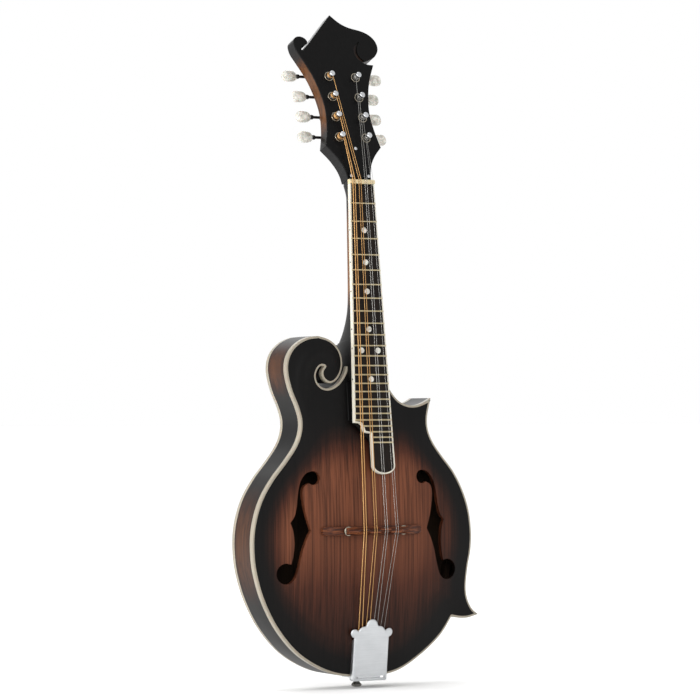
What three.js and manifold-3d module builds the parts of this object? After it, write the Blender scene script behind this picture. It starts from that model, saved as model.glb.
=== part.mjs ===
// A scroll-body mandolin with a carved top, two f-holes and eight strings, built from its real pieces.
// Units are millimetres. The neck runs along +Z and the strings face -Y. The bass side is -X.
// The origin is at the nut, in the plane of the body's front edge.

import * as THREE from 'three';
import { mergeVertices } from 'three/addons/utils/BufferGeometryUtils.js';
import Module from 'manifold-3d';

const wasm = await Module();
wasm.setup();

// ---- Driving dimensions ----

const GAP = 0.3; // between neighbouring pieces
const SCALE_LENGTH = 352.4; // nut to saddle
const FRET_COUNT = 24;

const BODY_DEPTH = 46; // front edge to back edge
const BODY_TAIL = -501; // lowest point of the rim
const NECK_JOINT = -186; // where the heel meets the body
const NECK_HALF = 20.5; // half the width of that joint
const RIM_WALL = 2.6;
const BINDING_WIDTH = 2.2;
const BINDING_DEPTH = 6;
const PLATE_EDGE = 6; // thickness of the carved plates at their edge
const TOP_ARCH = 12.4;
const BACK_ARCH = 10;
const ARCH_HOLLOW = 0.06; // how wide the hollow along the plates' edge is
const INNER_ARCH = 1.125; // the inside is carved this much deeper than the outside
const LINING_WIDTH = 5.5;
const LINING_DEPTH = 8.7;

const BOARD_TILT = THREE.MathUtils.degToRad(5);
const BOARD_Y = 3.6; // fingerboard surface at the nut
const BOARD_THICK = 4.3;
const BOARD_HALF = 14.2; // half width at the nut, with its binding
const BOARD_TAPER = 0.031; // growth of the half width along the board
const BOARD_BINDING = 1.5;
const LEDGE_RISE = 2.3; // height over the top of the ledge beside the fingerboard
const EXTENSION_LEFT = -2.7; // left edge of the tongue past the main board

const HEAD_TILT = THREE.MathUtils.degToRad(19);
const HEAD_Y = 6.35; // overlay surface at the nut
const TRUSS_POCKET = 9.5; // depth of the pocket that the truss rod nut is reached through
const TRUSS_Y = 11.4; // truss rod axis behind the fingerboard's surface
const OVERLAY_THICK = 1.7;
const HEAD_THICK = 15.5;
const HEAD_START = 5.4; // where the overlay begins, behind the nut

const POST_X = 15.5;
const POST_FIRST = 51.7;
const POST_PITCH = 22.7;
const POST_RADIUS = 3;
const POST_TOP = 9.3;
const GEAR_RADIUS = 5.2;
const WORM_RADIUS = 2.6;
const WORM_OFFSET = 8.4; // worm axis to post axis
const WORM_DEPTH = 21.5; // worm axis behind the overlay's face
const SHAFT_RADIUS = 1.5;
const BUTTON_CENTRES = [43.2, 41.4, 42.6, 49.8];
const BUTTON_SIZE = { length: 17.4, width: 12.4, thick: 7.6 };

const COURSE_AT_NUT = 7.1;
const COURSE_AT_SADDLE = 12.4;
const PAIR_AT_NUT = 2.4;
const PAIR_AT_SADDLE = 2.6;
const HOOK_PITCH = 4.15;
const STRING_SHIFT = 0.8; // the bridge sits this far to the treble side
const STRING_RADII = { G: 0.48, D: 0.33, A: 0.2, E: 0.15 };

const SADDLE_TOP = -31.4;
const SADDLE_BOTTOM = -21.9;
const SADDLE_HALF = 34.5;
const STUD_X = 31.75;
const STUD_RADIUS = 1.6;
const WHEEL_RADIUS = 4.7;
const WHEEL_THICK = 2.3;
const BRIDGE_HALF = 57;
const BRIDGE_WIDTH = 9;
const BRIDGE_FOOT_TOP = -17.6;

const COVER_TILT = THREE.MathUtils.degToRad(7);
const COVER_PEAK = -442.5;
const APRON_HALF = 13; // half width of the tailpiece's bent-down end
const COVER_DEPTH = 6.6; // how far the cover's sides reach back
const COVER_HALF = 20;
const COVER_LENGTH = 63.3;
const COVER_SHEET = 1;
const COVER_Y = -12.9; // front of the cover at its peak
const COVER_X = 1.2; // the tailpiece sits this far to the treble side
const END_PIN_Y = 20.7;

// ---- Materials ----

function material(color, roughness, metalness = 0) {
  return new THREE.MeshStandardMaterial({ color, roughness, metalness });
}

const LOOK = {
  top: () => material('#4a2a1c', 0.45),
  wood: () => material('#5b3323', 0.5),
  inner: () => material('#b08a5c', 0.8),
  black: () => material('#1b1a1a', 0.5),
  ivory: () => material('#e2d9c4', 0.45),
  ebony: () => material('#1e1c1c', 0.6),
  rosewood: () => material('#5a2c1a', 0.5),
  nickel: () => material('#c9ccd0', 0.3, 1),
  steel: () => material('#b9b8b4', 0.35, 1),
  bronze: () => material('#b98a52', 0.35, 1),
  brass: () => material('#b08d57', 0.4, 1),
  pearl: () => material('#d9d7cd', 0.35),
};

// ---- Solids ----

function toSolid(geometry) {
  const bare = geometry.clone();
  bare.deleteAttribute('normal');
  bare.deleteAttribute('uv');
  const merged = mergeVertices(bare, 1e-4);
  const mesh = new wasm.Mesh({
    numProp: 3,
    vertProperties: new Float32Array(merged.attributes.position.array),
    triVerts: new Uint32Array(merged.index.array),
  });
  return new wasm.Manifold(mesh);
}

function toGeometry(solid) {
  const mesh = solid.getMesh();
  const geometry = new THREE.BufferGeometry();
  geometry.setAttribute('position', new THREE.BufferAttribute(mesh.vertProperties, 3));
  geometry.setIndex(new THREE.BufferAttribute(mesh.triVerts, 1));
  geometry.computeVertexNormals();
  return geometry;
}

function joined(...solids) {
  return solids.reduce((whole, next) => whole.add(next));
}

function moved(solid, matrix) {
  return toSolid(toGeometry(solid).applyMatrix4(matrix));
}

// A prism over an outline in the XZ plane, from y = near to y = far.
function prism(outline, near, far) {
  const shape = new THREE.Shape(outline);
  const geometry = new THREE.ExtrudeGeometry(shape, { depth: far - near, bevelEnabled: false });
  geometry.rotateX(Math.PI / 2);
  geometry.translate(0, far, 0);
  return toSolid(geometry);
}

function block(x, y, z) {
  const geometry = new THREE.BoxGeometry(x[1] - x[0], y[1] - y[0], z[1] - z[0]);
  geometry.translate((x[0] + x[1]) / 2, (y[0] + y[1]) / 2, (z[0] + z[1]) / 2);
  return toSolid(geometry);
}

// A cylinder along the named axis, between two positions on it, centred on the other two coordinates.
function rod(axis, radius, from, to, centre, sides = 12) {
  const geometry = new THREE.CylinderGeometry(radius, radius, to - from, sides);
  if (axis === 'x') geometry.rotateZ(Math.PI / 2);
  if (axis === 'z') geometry.rotateX(Math.PI / 2);
  const middle = (from + to) / 2;
  const place = { x: [middle, ...centre], y: [centre[0], middle, centre[1]], z: [...centre, middle] };
  geometry.translate(...place[axis]);
  return toSolid(geometry);
}

// A closed skin over rings of equally many points, with flat ends.
function loft(rings) {
  const sides = rings[0].length;
  const positions = rings.flat().flatMap((p) => [p.x, p.y, p.z]);
  const index = [];
  for (let ring = 0; ring + 1 < rings.length; ring++) {
    for (let side = 0; side < sides; side++) {
      const next = (side + 1) % sides;
      const a = ring * sides + side;
      const b = ring * sides + next;
      index.push(a, b, b + sides, a, b + sides, a + sides);
    }
  }
  const last = (rings.length - 1) * sides;
  for (let side = 1; side + 1 < sides; side++) {
    index.push(0, side + 1, side);
    index.push(last, last + side, last + side + 1);
  }
  const geometry = new THREE.BufferGeometry();
  geometry.setAttribute('position', new THREE.Float32BufferAttribute(positions, 3));
  geometry.setIndex(index);
  const solid = toSolid(geometry);
  return solid.volume() < 0 ? toSolid(flipped(geometry)) : solid;
}

function flipped(geometry) {
  const turned = geometry.clone();
  const order = Array.from(turned.index.array);
  for (let i = 0; i < order.length; i += 3) [order[i], order[i + 1]] = [order[i + 1], order[i]];
  turned.setIndex(order);
  return turned;
}

// A solid of revolution about a line along +Z through the origin: rows are [radius, height].
function turned(profile, sides = 16) {
  const points = profile.map(([radius, height]) => new THREE.Vector2(radius, height));
  const geometry = new THREE.LatheGeometry(points, sides);
  geometry.rotateX(Math.PI / 2);
  return geometry;
}

// ---- Outlines ----

function smooth(points, steps) {
  const curve = new THREE.SplineCurve(points.map(([x, z]) => new THREE.Vector2(x, z)));
  return curve.getSpacedPoints(steps);
}

function arc(x, z, radius, fromDegrees, toDegrees, steps) {
  const [from, to] = [fromDegrees, toDegrees].map(THREE.MathUtils.degToRad);
  return Array.from({ length: steps + 1 }, (_, i) => {
    const angle = from + ((to - from) * i) / steps;
    return new THREE.Vector2(x + radius * Math.cos(angle), z + radius * Math.sin(angle));
  });
}

// Joins stretches end to end and drops repeated points.
function loop(...stretches) {
  const all = stretches.flat();
  return all.filter((p, i) => p.distanceTo(all[(i + 1) % all.length]) > 0.05);
}

function distanceTo(outline, p) {
  let best = Infinity;
  for (let i = 0; i < outline.length; i++) {
    const a = outline[i];
    const edge = outline[(i + 1) % outline.length].clone().sub(a);
    const along = THREE.MathUtils.clamp(p.clone().sub(a).dot(edge) / edge.lengthSq(), 0, 1);
    best = Math.min(best, p.distanceTo(a.clone().addScaledVector(edge, along)));
  }
  return best;
}

// The line a fixed distance inside an anticlockwise outline, with a round turn where a slit ends.
function inset(outline, distance) {
  const leftOf = (v) => new THREE.Vector2(-v.y, v.x);
  const line = [];
  outline.forEach((here, i) => {
    const before = outline[(i + outline.length - 1) % outline.length];
    const after = outline[(i + 1) % outline.length];
    const first = leftOf(here.clone().sub(before).normalize());
    const second = leftOf(after.clone().sub(here).normalize());
    const turn = Math.atan2(first.cross(second), first.dot(second));
    if (turn < -0.7) {
      for (let k = 0; k <= 4; k++) {
        const side = first.clone().rotateAround(new THREE.Vector2(), (turn * k) / 4);
        line.push(here.clone().addScaledVector(side, distance));
      }
    } else {
      const middle = first.clone().add(second).normalize();
      line.push(here.clone().addScaledVector(middle, distance / Math.max(middle.dot(first), 0.2)));
    }
  });
  return line.filter((p) => distanceTo(outline, p) > distance - 0.05);
}

const SLOT_WALL = [[-NECK_HALF, NECK_JOINT], [-24, -194.5], [-30, -202.4], [-37, -207], [-44, -208.5],
  [-50.5, -206.3], [-55, -201], [-56, -194.5], [-53.3, -188.3], [-49.8, -185.8], [-46.5, -186.2]];
const SCROLL_EYE = [[-46.5, -186.2], [-49.2, -189.8], [-49.6, -195], [-46.6, -200.3], [-40.5, -203.3],
  [-34, -201.2], [-29, -195.5], [-26.3, -189], [-25.6, -181.5], [-27.6, -172.5], [-33, -164.5],
  [-41.5, -158.6], [-53, -155.4]];
const BASS_SIDE = [[-53, -155.4], [-65, -157], [-76, -162], [-84.5, -170], [-89.3, -180.5], [-89.8, -193],
  [-85.5, -210], [-78, -227], [-74, -241], [-75, -254], [-80.5, -267], [-92, -282.5], [-106.7, -300],
  [-119.5, -321], [-127, -345], [-128.8, -368], [-125.8, -394], [-116.2, -423.5], [-99.4, -453],
  [-74.2, -479], [-38.5, -496.8], [0, BODY_TAIL], [34.5, -497.2], [62.5, -482.6],
  [87, -463], [101.2, -443.8]];
const LOWER_POINT = [[101.2, -443.8], [110.5, -445.6], [121, -445.6], [133.6, -442.4]];
const WAIST = [[133.6, -442.4], [126, -436.5], [120.4, -426], [118.6, -413], [120.9, -393], [124.6, -374],
  [125.2, -355], [122.3, -334], [115.4, -314], [104.6, -294.5], [89.6, -276.5], [79.6, -263], [74.2, -250],
  [73.6, -237], [77.8, -218.4]];
const CUTAWAY = [[77.8, -218.4], [70, -222.6], [60, -225.7], [50, -225.4], [40, -221.2], [32, -213],
  [26, -203], [NECK_HALF, NECK_JOINT]];

const OUTLINE = loop(smooth(SLOT_WALL, 14), smooth(SCROLL_EYE, 17), smooth(BASS_SIDE, 54),
  smooth(LOWER_POINT, 3), smooth(WAIST, 20), smooth(CUTAWAY, 9));

// The same outline with a straight line in place of the scroll, for what runs only inside the rim.
const WITHOUT_SCROLL = OUTLINE.filter((p) => p.x > 0 || p.y < -212);

// One f-hole, on the treble side for side = 1 and on the bass side for side = -1.
function fHole(side) {
  const outer = [[64.7, -291.9], [71, -294.3], [77, -302.5], [80, -314], [82, -328], [84.5, -337],
    [89, -343.3]];
  const outerLow = [[89, -343.3], [86, -352], [85, -365], [86.2, -377], [88.3, -385]];
  const inner = [[88, -403.4], [83.5, -398.5], [80, -388], [76, -372], [71.5, -360], [67, -351.4]];
  const innerHigh = [[67, -351.4], [71, -339], [74, -325], [75, -314], [73, -307], [67.5, -304]];
  const line = loop(smooth(outer, 6), smooth(outerLow, 5), arc(93.2, -394.3, 10.5, 118, -120, 11),
    smooth(inner, 6), smooth(innerHigh, 6), arc(62.9, -298.7, 7, -49, -285, 9));
  return side > 0 ? line : line.map((p) => new THREE.Vector2(-p.x, p.y)).reverse();
}

// ---- Carved plates ----

function isInside(outline, x, z) {
  let inside = false;
  outline.forEach((a, i) => {
    const b = outline[(i + 1) % outline.length];
    if (a.y > z !== b.y > z && x < ((b.x - a.x) * (z - a.y)) / (b.y - a.y) + a.x) inside = !inside;
  });
  return inside;
}

// The arch is the shape of a stretched film pushed up inside the outline: 0 at the edge, 1 at its highest.
function stretchedFilm(outline, cell) {
  const [left, low, columns, rows] = [-140, -510, Math.ceil(280 / cell), Math.ceil(370 / cell)];
  const free = [];
  for (let row = 0; row <= rows; row++) {
    for (let column = 0; column <= columns; column++) {
      if (isInside(outline, left + column * cell, low + row * cell)) free.push(row * (columns + 1) + column);
    }
  }
  const film = new Float64Array((columns + 1) * (rows + 1));
  for (let sweep = 0; sweep < 400; sweep++) {
    for (const i of free) {
      const around = film[i - 1] + film[i + 1] + film[i - columns - 1] + film[i + columns + 1];
      film[i] += 1.85 * ((around + cell * cell) / 4 - film[i]);
    }
  }
  const highest = Math.max(...film);
  return (x, z) => {
    const column = THREE.MathUtils.clamp((x - left) / cell, 0, columns - 1e-6);
    const row = THREE.MathUtils.clamp((z - low) / cell, 0, rows - 1e-6);
    const [c, r] = [Math.floor(column), Math.floor(row)];
    const [u, v] = [column - c, row - r];
    const at = (i, j) => film[(r + j) * (columns + 1) + c + i] / highest;
    return (at(0, 0) * (1 - u) + at(1, 0) * u) * (1 - v) + (at(0, 1) * (1 - u) + at(1, 1) * u) * v;
  };
}

const film = stretchedFilm(OUTLINE, 5);

// Height of a carved plate over its edge: a hollow near the edge, then a full arch.
function rise(x, z, arch) {
  const t = film(x, z);
  return (arch * (1 + ARCH_HOLLOW) * t * t) / (t + ARCH_HOLLOW);
}

const topFront = (x, z) => -rise(x, z, TOP_ARCH);
const topInside = (x, z) => PLATE_EDGE - INNER_ARCH * rise(x, z, TOP_ARCH);
const backInside = (x, z) => BODY_DEPTH - PLATE_EDGE + INNER_ARCH * rise(x, z, BACK_ARCH);
const backOutside = (x, z) => BODY_DEPTH + rise(x, z, BACK_ARCH);

// A slab between two height fields, over a rectangle larger than the body.
function reliefSlab(front, behind, cell = 17) {
  const [left, low] = [-138, -510];
  const columns = Math.ceil(276 / cell);
  const rows = Math.ceil(366 / cell);
  const rings = [];
  for (let row = 0; row <= rows; row++) {
    const z = low + row * cell;
    const xs = Array.from({ length: columns + 1 }, (_, i) => left + i * cell);
    const ring = xs.map((x) => new THREE.Vector3(x, front(x, z), z));
    ring.push(...xs.reverse().map((x) => new THREE.Vector3(x, behind(x, z), z)));
    rings.push(ring);
  }
  return reliefFromRings(rings, columns);
}

function reliefFromRings(rings, columns) {
  const sides = rings[0].length;
  const index = [];
  for (let ring = 0; ring + 1 < rings.length; ring++) {
    for (let side = 0; side < sides; side++) {
      const a = ring * sides + side;
      const b = ring * sides + ((side + 1) % sides);
      index.push(a, b, b + sides, a, b + sides, a + sides);
    }
  }
  const last = (rings.length - 1) * sides;
  for (let column = 0; column < columns; column++) {
    const [a, b] = [column, column + 1];
    const [c, d] = [sides - 1 - b, sides - 1 - a];
    index.push(a, c, b, a, d, c);
    index.push(last + a, last + b, last + c, last + a, last + c, last + d);
  }
  const geometry = new THREE.BufferGeometry();
  const positions = rings.flat().flatMap((p) => [p.x, p.y, p.z]);
  geometry.setAttribute('position', new THREE.Float32BufferAttribute(positions, 3));
  geometry.setIndex(index);
  const solid = toSolid(geometry);
  return solid.volume() < 0 ? toSolid(flipped(geometry)) : solid;
}

const PLATE_LINE = inset(OUTLINE, BINDING_WIDTH + GAP);

function topPlate() {
  const slab = reliefSlab(topFront, topInside);
  const openings = prism(fHole(1), -30, 30).add(prism(fHole(-1), -30, 30));
  return prism(PLATE_LINE, -30, 30).intersect(slab).subtract(openings);
}

function backPlate() {
  return prism(PLATE_LINE, 0, 80).intersect(reliefSlab(backInside, backOutside));
}

// ---- Rim, bindings, linings and blocks ----

const SIDE_NEAR = BINDING_DEPTH + GAP;
const SIDE_FAR = BODY_DEPTH - BINDING_DEPTH - GAP;
// The stretch with no bent rim: the scroll's eye, the slot and the neck joint. The block shows there.
const BLOCK_FACE = [[-34, -150], [-34, -172], [-62, -180], [-62, -216], [17, -216], [17, -150]];
const polygon = (points) => points.map(([x, z]) => new THREE.Vector2(x, z));

function band(outer, inner, near, far, outline = OUTLINE) {
  const outside = outer === 0 ? outline : inset(outline, outer);
  return prism(outside, near, far).subtract(prism(inset(outline, inner), near - 1, far + 1));
}

function binding(near, far) {
  const acrossNeck = block([-18, 18], [near - 1, far + 1], [NECK_JOINT - 5, NECK_JOINT + 5]);
  return band(0, BINDING_WIDTH, near, far).subtract(acrossNeck);
}

function endPinHole() {
  return rod('z', 3.4, BODY_TAIL - 20, BODY_TAIL + 40, [0, END_PIN_Y], 10);
}

// The rim is four bent strips, parted at the two points, at the tail, and where the scroll's block begins.
function rimStrips() {
  const ring = band(0, RIM_WALL, SIDE_NEAR, SIDE_FAR);
  const seams = [
    prism(polygon([[-GAP / 2, -520], [GAP / 2, -520], [GAP / 2, -480], [-GAP / 2, -480]]), 0, BODY_DEPTH),
    prism(seam([134.6, -442.7], [115, -436]), 0, BODY_DEPTH),
    prism(seam([78.7, -216.8], [69, -229]), 0, BODY_DEPTH),
    prism(polygon(BLOCK_FACE), 0, BODY_DEPTH),
    endPinHole(),
  ];
  const strips = seams.reduce((left, cut) => left.subtract(cut), ring).decompose();
  const found = (x, z) => strips.find((strip) => {
    const { min, max } = strip.boundingBox();
    return min[0] < x && x < max[0] && min[2] < z && z < max[2];
  });
  return {
    rim_bass: found(-100, -300),
    rim_tail_treble: found(60, -470),
    rim_waist: found(100, -330),
    rim_cutaway: found(40, -210),
  };
}

function seam([x0, z0], [x1, z1]) {
  const along = new THREE.Vector2(x1 - x0, z1 - z0).normalize();
  const [dx, dz] = [(-along.y * GAP) / 2, (along.x * GAP) / 2];
  return polygon([[x0 + dx, z0 + dz], [x0 - dx, z0 - dz], [x1 - dx, z1 - dz], [x1 + dx, z1 + dz]].reverse());
}

const NECK_BLOCK_AREA = [[21, -180], [21, -214], [8, -224], [-58, -224], [-96, -208], [-96, -150],
  [-20, -150]];
const NECK_BLOCK_ROOM = [[23, -180], [23, -215], [9, -224.5], [-58, -224.5], [-98, -208.5], [-98, -150],
  [-20, -150]];

function neckBlock() {
  const bare = prism(polygon(BLOCK_FACE), 0, BODY_DEPTH);
  const rimRoom = band(0, RIM_WALL + GAP, SIDE_NEAR - 1, SIDE_FAR + 1).subtract(bare);
  const area = prism(polygon(NECK_BLOCK_AREA), 0, BODY_DEPTH);
  const whole = prism(OUTLINE, SIDE_NEAR, SIDE_FAR).intersect(area);
  const joint = block([-30, 30], [0, BODY_DEPTH], [NECK_JOINT - GAP, NECK_JOINT + 50]);
  const outside = joint.subtract(prism(OUTLINE, 0, BODY_DEPTH));
  return whole.subtract(rimRoom).subtract(outside).subtract(trebleCheek());
}

// The rim's short return beside the heel, which the block leaves free.
function trebleCheek() {
  return block([16.6, 24], [0, BODY_DEPTH], [-190, -180]);
}

function lining(near, far) {
  const room = prism(polygon(NECK_BLOCK_ROOM), 0, BODY_DEPTH);
  const [outer, inner] = [RIM_WALL + GAP, RIM_WALL + GAP + LINING_WIDTH];
  return band(outer, inner, near, far, WITHOUT_SCROLL).subtract(room);
}

// A block inside the rim, notched over both linings.
function innerBlock(x, z) {
  const depth = RIM_WALL + LINING_WIDTH + 4.5;
  const inside = prism(inset(OUTLINE, RIM_WALL + GAP), SIDE_NEAR, SIDE_FAR);
  const notch = (near, far) => band(0, depth, near, far, WITHOUT_SCROLL);
  return inside.intersect(block(x, [0, BODY_DEPTH], z))
    .subtract(notch(SIDE_NEAR - 1, SIDE_NEAR + LINING_DEPTH + GAP))
    .subtract(notch(SIDE_FAR - LINING_DEPTH - GAP, SIDE_FAR + 1));
}

function toneBar(side) {
  const bar = block([side * 26 - 4, side * 26 + 4], [-20, 4], [-440, -285]);
  return bar.intersect(reliefSlab((x, z) => topInside(x, z) + GAP, () => 60));
}

// ---- Neck, fingerboard and headstock ----

const BOARD_FRAME = new THREE.Matrix4().makeRotationX(-BOARD_TILT).setPosition(0, BOARD_Y, 0);
const HEAD_FRAME = new THREE.Matrix4().makeRotationX(-HEAD_TILT).setPosition(0, HEAD_Y, 0);
const boardHalf = (s) => BOARD_HALF + BOARD_TAPER * s;

// Anticlockwise edge of the fingerboard with its binding: stepped at the bass side, then a long tongue.
function boardEdge() {
  const tongueHalf = (boardHalf(288) - EXTENSION_LEFT) / 2;
  const centre = EXTENSION_LEFT + tongueHalf;
  const end = Array.from({ length: 9 }, (_, i) => {
    const angle = Math.PI + (Math.PI * i) / 8;
    return [centre + tongueHalf * Math.cos(angle), -288 + 8.5 * Math.sin(angle)];
  });
  const steps = [[-15, -245], [-12.5, -247.5], [-11, -252.5], [-9.5, -254], [EXTENSION_LEFT, -255]];
  return polygon([[-boardHalf(0), -GAP], [-boardHalf(244), -244], ...steps, ...end, [boardHalf(0), -GAP]]);
}

function fretPosition(n) {
  return SCALE_LENGTH * (1 - 2 ** (-n / 12));
}

// The board's own wood with its frets, in the board's tilted frame.
function fingerboard() {
  const edge = inset(boardEdge(), BOARD_BINDING + GAP);
  const wood = prism(edge, 0, BOARD_THICK);
  const wires = [];
  for (let n = 1; n <= FRET_COUNT; n++) {
    const z = -fretPosition(n);
    wires.push(block([-40, 40], [-1, 0.5], [z - 0.9, z + 0.9]));
  }
  return wood.add(joined(...wires).intersect(prism(edge, -2, 1)));
}

function boardBinding() {
  const wood = prism(inset(boardEdge(), BOARD_BINDING), -1, BOARD_THICK + 1);
  const ring = prism(boardEdge(), 0, BOARD_THICK).subtract(wood);
  return ring.subtract(block([-12.5, 12.5], [-1, BOARD_THICK + 1], [-3, 1]));
}

// Wood between the top and the fingerboard, and the tongue under its free end.
function riser() {
  const edge = inset(boardEdge(), 0.8);
  const far = BOARD_THICK + GAP;
  const support = prism(edge, far, 30).intersect(block([-40, 40], [far, 30], [-246, -180]));
  const tongue = prism(edge, far, far + 4.5).intersect(block([-40, 40], [far, 30], [-294, -240]));
  const ledgeTop = reliefSlab((x, z) => topFront(x, z) - LEDGE_RISE, () => 90);
  const ledge = block([-22.6, -15], [-5, 10], [-241, -203]).intersect(ledgeTop);
  const placed = moved(support.add(tongue), BOARD_FRAME).add(ledge);
  const clear = reliefSlab((x, z) => topFront(x, z) - GAP, () => 90);
  return placed.subtract(clear).subtract(block([-40, 40], [-40, 60], [NECK_JOINT - 3, NECK_JOINT + 20]));
}

function headLine() {
  const right = [[13.2, HEAD_START], [14.2, 13], [17, 22.5], [23, 32.5], [31.5, 42]];
  const rightSide = [[31.5, 42], [27.4, 60], [25.2, 79], [27, 96.5], [31.6, 116], [40, 135.6]];
  const notch = [[40, 135.6], [33.5, 136], [27.5, 137.8]];
  const crown = [[27.5, 137.8], [33, 140], [42.5, 144.6], [48.4, 153], [47.8, 162], [42, 169.4], [32.5, 174],
    [17.5, 177.5], [7.5, 182.4], [-2, 190.5]];
  const eye = [[-31.8, 157.2], [-35.1, 153.6], [-37.9, 150.2], [-40.1, 148.4], [-41.8, 148.8], [-42.1, 150.6],
    [-41.2, 152.5], [-38.8, 153.7], [-35.9, 155], [-33.6, 156.9]];
  const leftLobe = [[-33.6, 156.9], [-33.8, 159.1], [-35.5, 161.5], [-38.7, 163.4], [-42.4, 163.9],
    [-46.3, 162.9], [-48.9, 160.3], [-49.8, 156.8], [-48.6, 149], [-43.6, 139.5], [-36.6, 126], [-31.6, 113],
    [-27.4, 96.5], [-25.8, 80], [-28, 60], [-32.5, 42]];
  const left = [[-32.5, 42], [-23.5, 31.5], [-17.5, 21.5], [-14.6, 13], [-13.6, HEAD_START]];
  return loop(smooth(right, 5), smooth(rightSide, 7), smooth(notch, 3), smooth(crown, 15),
    smooth(eye, 11), smooth(leftLobe, 20), smooth(left, 5));
}

const postHeight = (k) => POST_FIRST + POST_PITCH * k;
const postRow = (side) => [0, 1, 2, 3].map((k) => ({ side, k, x: side * POST_X, z: postHeight(k) }));
const postPlaces = [...postRow(-1), ...postRow(1)];

function postHoles(radius) {
  return joined(...postPlaces.map(({ x, z }) => rod('y', radius, -5, 30, [x, z], 8)));
}

// The pocket for the truss rod nut, open to the front under its cover.
function trussPocket() {
  return block([-5, 5], [-5, TRUSS_POCKET], [0, 32]);
}

function headstockOverlay() {
  return prism(headLine(), 0, OVERLAY_THICK).subtract(postHoles(POST_RADIUS + 0.6)).subtract(trussPocket());
}

function headstockCore() {
  const core = prism(headLine(), OVERLAY_THICK + GAP, HEAD_THICK);
  return moved(core.subtract(postHoles(POST_RADIUS + 0.6)).subtract(trussPocket()), HEAD_FRAME);
}

// Depth of the neck behind the fingerboard's back, growing into the heel.
const NECK_DEPTHS = [[-6, 15], [0, 15], [9, 15], [14, 15.1], [40, 15.6], [80, 16.8], [110, 18.4], [126, 21],
  [137, 26], [146, 32.5], [153, 39.5], [159, 47], [163, 52], [200, 56]];

// The section is nearly square at the nut, round along the shaft and a little fuller in the heel.
function neckSection(s, depth) {
  const half = boardHalf(Math.max(s, 0));
  const power = 0.45 + 0.55 * THREE.MathUtils.smoothstep(s, 0, 14) - (s > 120 ? 0.1 : 0);
  const near = BOARD_THICK + GAP;
  const points = [];
  for (let i = 0; i <= 14; i++) {
    const angle = (Math.PI * i) / 14;
    const [c, n] = [Math.cos(angle), Math.sin(angle)];
    const x = half * Math.sign(c) * Math.abs(c) ** power;
    points.push(new THREE.Vector3(x, near + 0.8 + (depth - 0.8) * n ** power, -s));
  }
  points.push(new THREE.Vector3(-half, near, -s), new THREE.Vector3(half, near, -s));
  return points;
}

function neck() {
  const shaft = moved(loft(NECK_DEPTHS.map(([s, depth]) => neckSection(s, depth))), BOARD_FRAME);
  const room = block([-60, 60], [-40, BODY_DEPTH - GAP], [NECK_JOINT + GAP, 60]);
  const channel = moved(block([-3.3, 3.3], [0, 15.3], [-170, 9]), BOARD_FRAME);
  const nutRoom = moved(rod('z', 4.4, 2, 24, [0, TRUSS_Y], 12), BOARD_FRAME);
  const overlay = moved(block([-60, 60], [-10, OVERLAY_THICK + GAP], [HEAD_START - GAP, 60]), HEAD_FRAME);
  const whole = shaft.intersect(room).subtract(overlay).add(headstockCore());
  return whole.subtract(channel).subtract(nutRoom);
}

function trussRod() {
  const bar = block([-3, 3], [TRUSS_Y - 3.2, TRUSS_Y + 3.2], [-168, -1]);
  return bar.add(rod('z', 1.6, -4, 8, [0, TRUSS_Y], 8));
}

function trussRodNut() {
  return rod('z', 3.2, 3, 17, [0, TRUSS_Y], 12).subtract(rod('z', 1.9, 1, 9, [0, TRUSS_Y], 8));
}

function trussCover() {
  const side = [[12.2, 6.2], [12, 11], [9.6, 17.5], [6.8, 25], [5.2, 33], [4.6, 38], [3.2, 41.6], [0, 43.2]];
  const left = side.slice(0, -1).reverse().map(([x, z]) => [-x, z]);
  return prism(loop(smooth(side, 12), smooth([[0, 43.2], ...left], 12)), -1.7, -GAP);
}

function nut() {
  return block([-14.5, 14.5], [-1.3, BOARD_THICK], [GAP, 4.9]);
}

// ---- Tuners, in the headstock's tilted frame ----

function tunerPost(x, z) {
  const shaft = rod('y', POST_RADIUS, -POST_TOP, 24.4, [x, z], 10);
  const gear = rod('y', GEAR_RADIUS, WORM_DEPTH - 2.2, WORM_DEPTH + 2.2, [x, z], 14);
  return shaft.add(gear);
}

function tunerShaft(side, k, z) {
  const centre = BUTTON_CENTRES[k];
  const inner = centre - BUTTON_SIZE.length / 2;
  const spindle = rod('x', SHAFT_RADIUS, POST_X - 5.9, inner + 1, [WORM_DEPTH, z], 6);
  const worm = rod('x', WORM_RADIUS, POST_X - 3.6, POST_X + 3.6, [WORM_DEPTH, z], 8);
  const half = BUTTON_SIZE.length / 2;
  const profile = [[0, -half], [0.45, -half * 0.93], [0.85, -half * 0.5], [1, half * 0.1], [0.8, half * 0.75],
    [0, half]];
  const knob = turned(profile, 10);
  knob.scale(BUTTON_SIZE.width / 2, BUTTON_SIZE.thick / 2, 1);
  knob.rotateZ(Math.PI / 2);
  knob.rotateY(Math.PI / 2);
  knob.rotateX(Math.PI / 2);
  knob.translate(centre, WORM_DEPTH, z);
  const whole = joined(spindle, worm, toSolid(knob));
  return side > 0 ? whole : whole.mirror([1, 0, 0]);
}

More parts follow.
